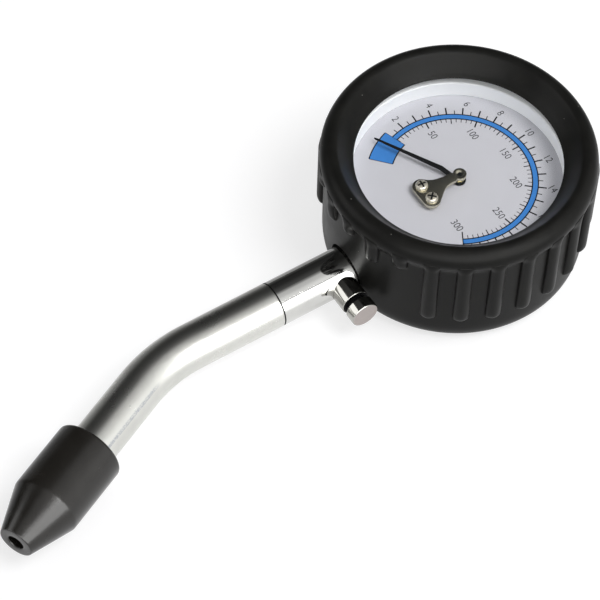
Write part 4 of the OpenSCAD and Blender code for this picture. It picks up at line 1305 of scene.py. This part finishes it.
def softboxes(tree, way):
    """The tall light on the 3 o'clock side, and round ones seen by the cone, the lip and the button."""
    part = parts_of(tree, way)
    slanted = maths(tree, "SUBTRACT", part["X"], times(tree, part["Y"], 0.3))
    beside = maths(tree, "GREATER_THAN", slanted, 0.6)
    above = maths(tree, "GREATER_THAN", part["Z"], 0.12)
    below = maths(tree, "LESS_THAN", part["Y"], 0.5)
    total = times(tree, beside, above, below, 2.4)
    for direction, width, brightness in SOFTBOXES:
        links = {0: way, 1: Vector(direction).normalized()}
        facing = node(tree, "ShaderNodeVectorMath", links, operation="DOT_PRODUCT").outputs["Value"]
        lit = maths(tree, "GREATER_THAN", facing, math.cos(math.radians(width)))
        total = plus(tree, times(tree, lit, brightness), total)
    return total


def add_world():
    """A soft studio: white behind everything, and for reflections a dark side away from the lamps."""
    world = bpy.context.scene.world = bpy.data.worlds.new("studio")
    world.use_nodes = True
    tree = world.node_tree
    tree.nodes.clear()
    way = node(tree, "ShaderNodeTexCoord").outputs["Generated"]
    across = plus(tree, times(tree, parts_of(tree, way)["X"], 0.5), 0.5)
    lit = mix_colour(tree, 1.0, ramp(tree, across, *TENT), softboxes(tree, way), "ADD")
    edge = ramp(tree, across, (0.817, 1.0), (0.822, 0.1), (0.831, 0.1), (0.835, 1.0))
    tent = mix_colour(tree, 1.0, lit, edge, "MULTIPLY")
    rays = node(tree, "ShaderNodeLightPath").outputs

    def light(shade, strength):
        links = {"Color": shade, "Strength": strength}
        return node(tree, "ShaderNodeBackground", links).outputs[0]

    def choose(factor, first, second):
        return node(tree, "ShaderNodeMixShader", {0: factor, 1: first, 2: second}).outputs[0]

    glossy = most(tree, rays["Is Glossy Ray"], rays["Is Transmission Ray"])
    unseen = choose(glossy, light(WHITE, FILL), light(tent, REFLECTED))
    both = choose(rays["Is Camera Ray"], unseen, light(WHITE, 1.0))
    node(tree, "ShaderNodeOutputWorld", {"Surface": both})


def add_lamp():
    """A soft round lamp aimed at the tester, unseen in its reflections."""
    light = bpy.data.lights.new("soft lamp", "AREA")
    light.shape = "DISK"
    light.size = LAMP_SIZE
    light.energy = LAMP_POWER
    lamp = bpy.data.objects.new("soft lamp", light)
    lamp.location = LAMP_PLACE
    lamp.rotation_euler = (-Vector(LAMP_PLACE)).to_track_quat("-Z", "Y").to_euler()
    lamp.visible_glossy = False
    bpy.context.collection.objects.link(lamp)


class TESTER_OT_stage(bpy.types.Operator):
    """Sets the floor, the studio light and the camera"""

    bl_idname = "tester.stage"
    bl_label = "Floor, light and camera"

    def execute(self, context):
        add_camera()
        add_floor(context.scene.tester_colours)
        add_world()
        add_lamp()
        context.scene.view_settings.view_transform = "Standard"
        return {"FINISHED"}


# ---- Panel and run ----

PIECES = (
    TESTER_OT_boot, TESTER_OT_window, TESTER_OT_dial, TESTER_OT_bridge, TESTER_OT_connector,
    TESTER_OT_button, TESTER_OT_tube, TESTER_OT_cone, TESTER_OT_carried, TESTER_OT_stage,
)


class TESTER_PT_pieces(bpy.types.Panel):
    """Lists the pieces of the tester"""

    bl_label = "Compression tester"
    bl_idname = "TESTER_PT_pieces"
    bl_space_type = "VIEW_3D"
    bl_region_type = "UI"
    bl_category = "Tester"

    def draw(self, context):
        layout = self.layout
        for piece in PIECES:
            layout.operator(piece.bl_idname)
        for values in (context.scene.tester_sizes, context.scene.tester_colours):
            box = layout.box()
            for name in values.__annotations__:
                box.prop(values, name)


CLASSES = (TesterSizes, TesterColours, *PIECES, TESTER_PT_pieces)


def register():
    for cls in CLASSES:
        bpy.utils.register_class(cls)
    bpy.types.Scene.tester_sizes = PointerProperty(type=TesterSizes)
    bpy.types.Scene.tester_colours = PointerProperty(type=TesterColours)


def unregister():
    del bpy.types.Scene.tester_colours
    del bpy.types.Scene.tester_sizes
    for cls in reversed(CLASSES):
        bpy.utils.unregister_class(cls)


def main():
    register()
    make_finishes(bpy.context.scene.tester_colours)
    for piece in PIECES:
        family, name = piece.bl_idname.split(".")
        result = getattr(getattr(bpy.ops, family), name)()
        if result != {"FINISHED"}:
            raise RuntimeError(f"{piece.bl_label} was not finished")


if __name__ == "__main__":
    main()
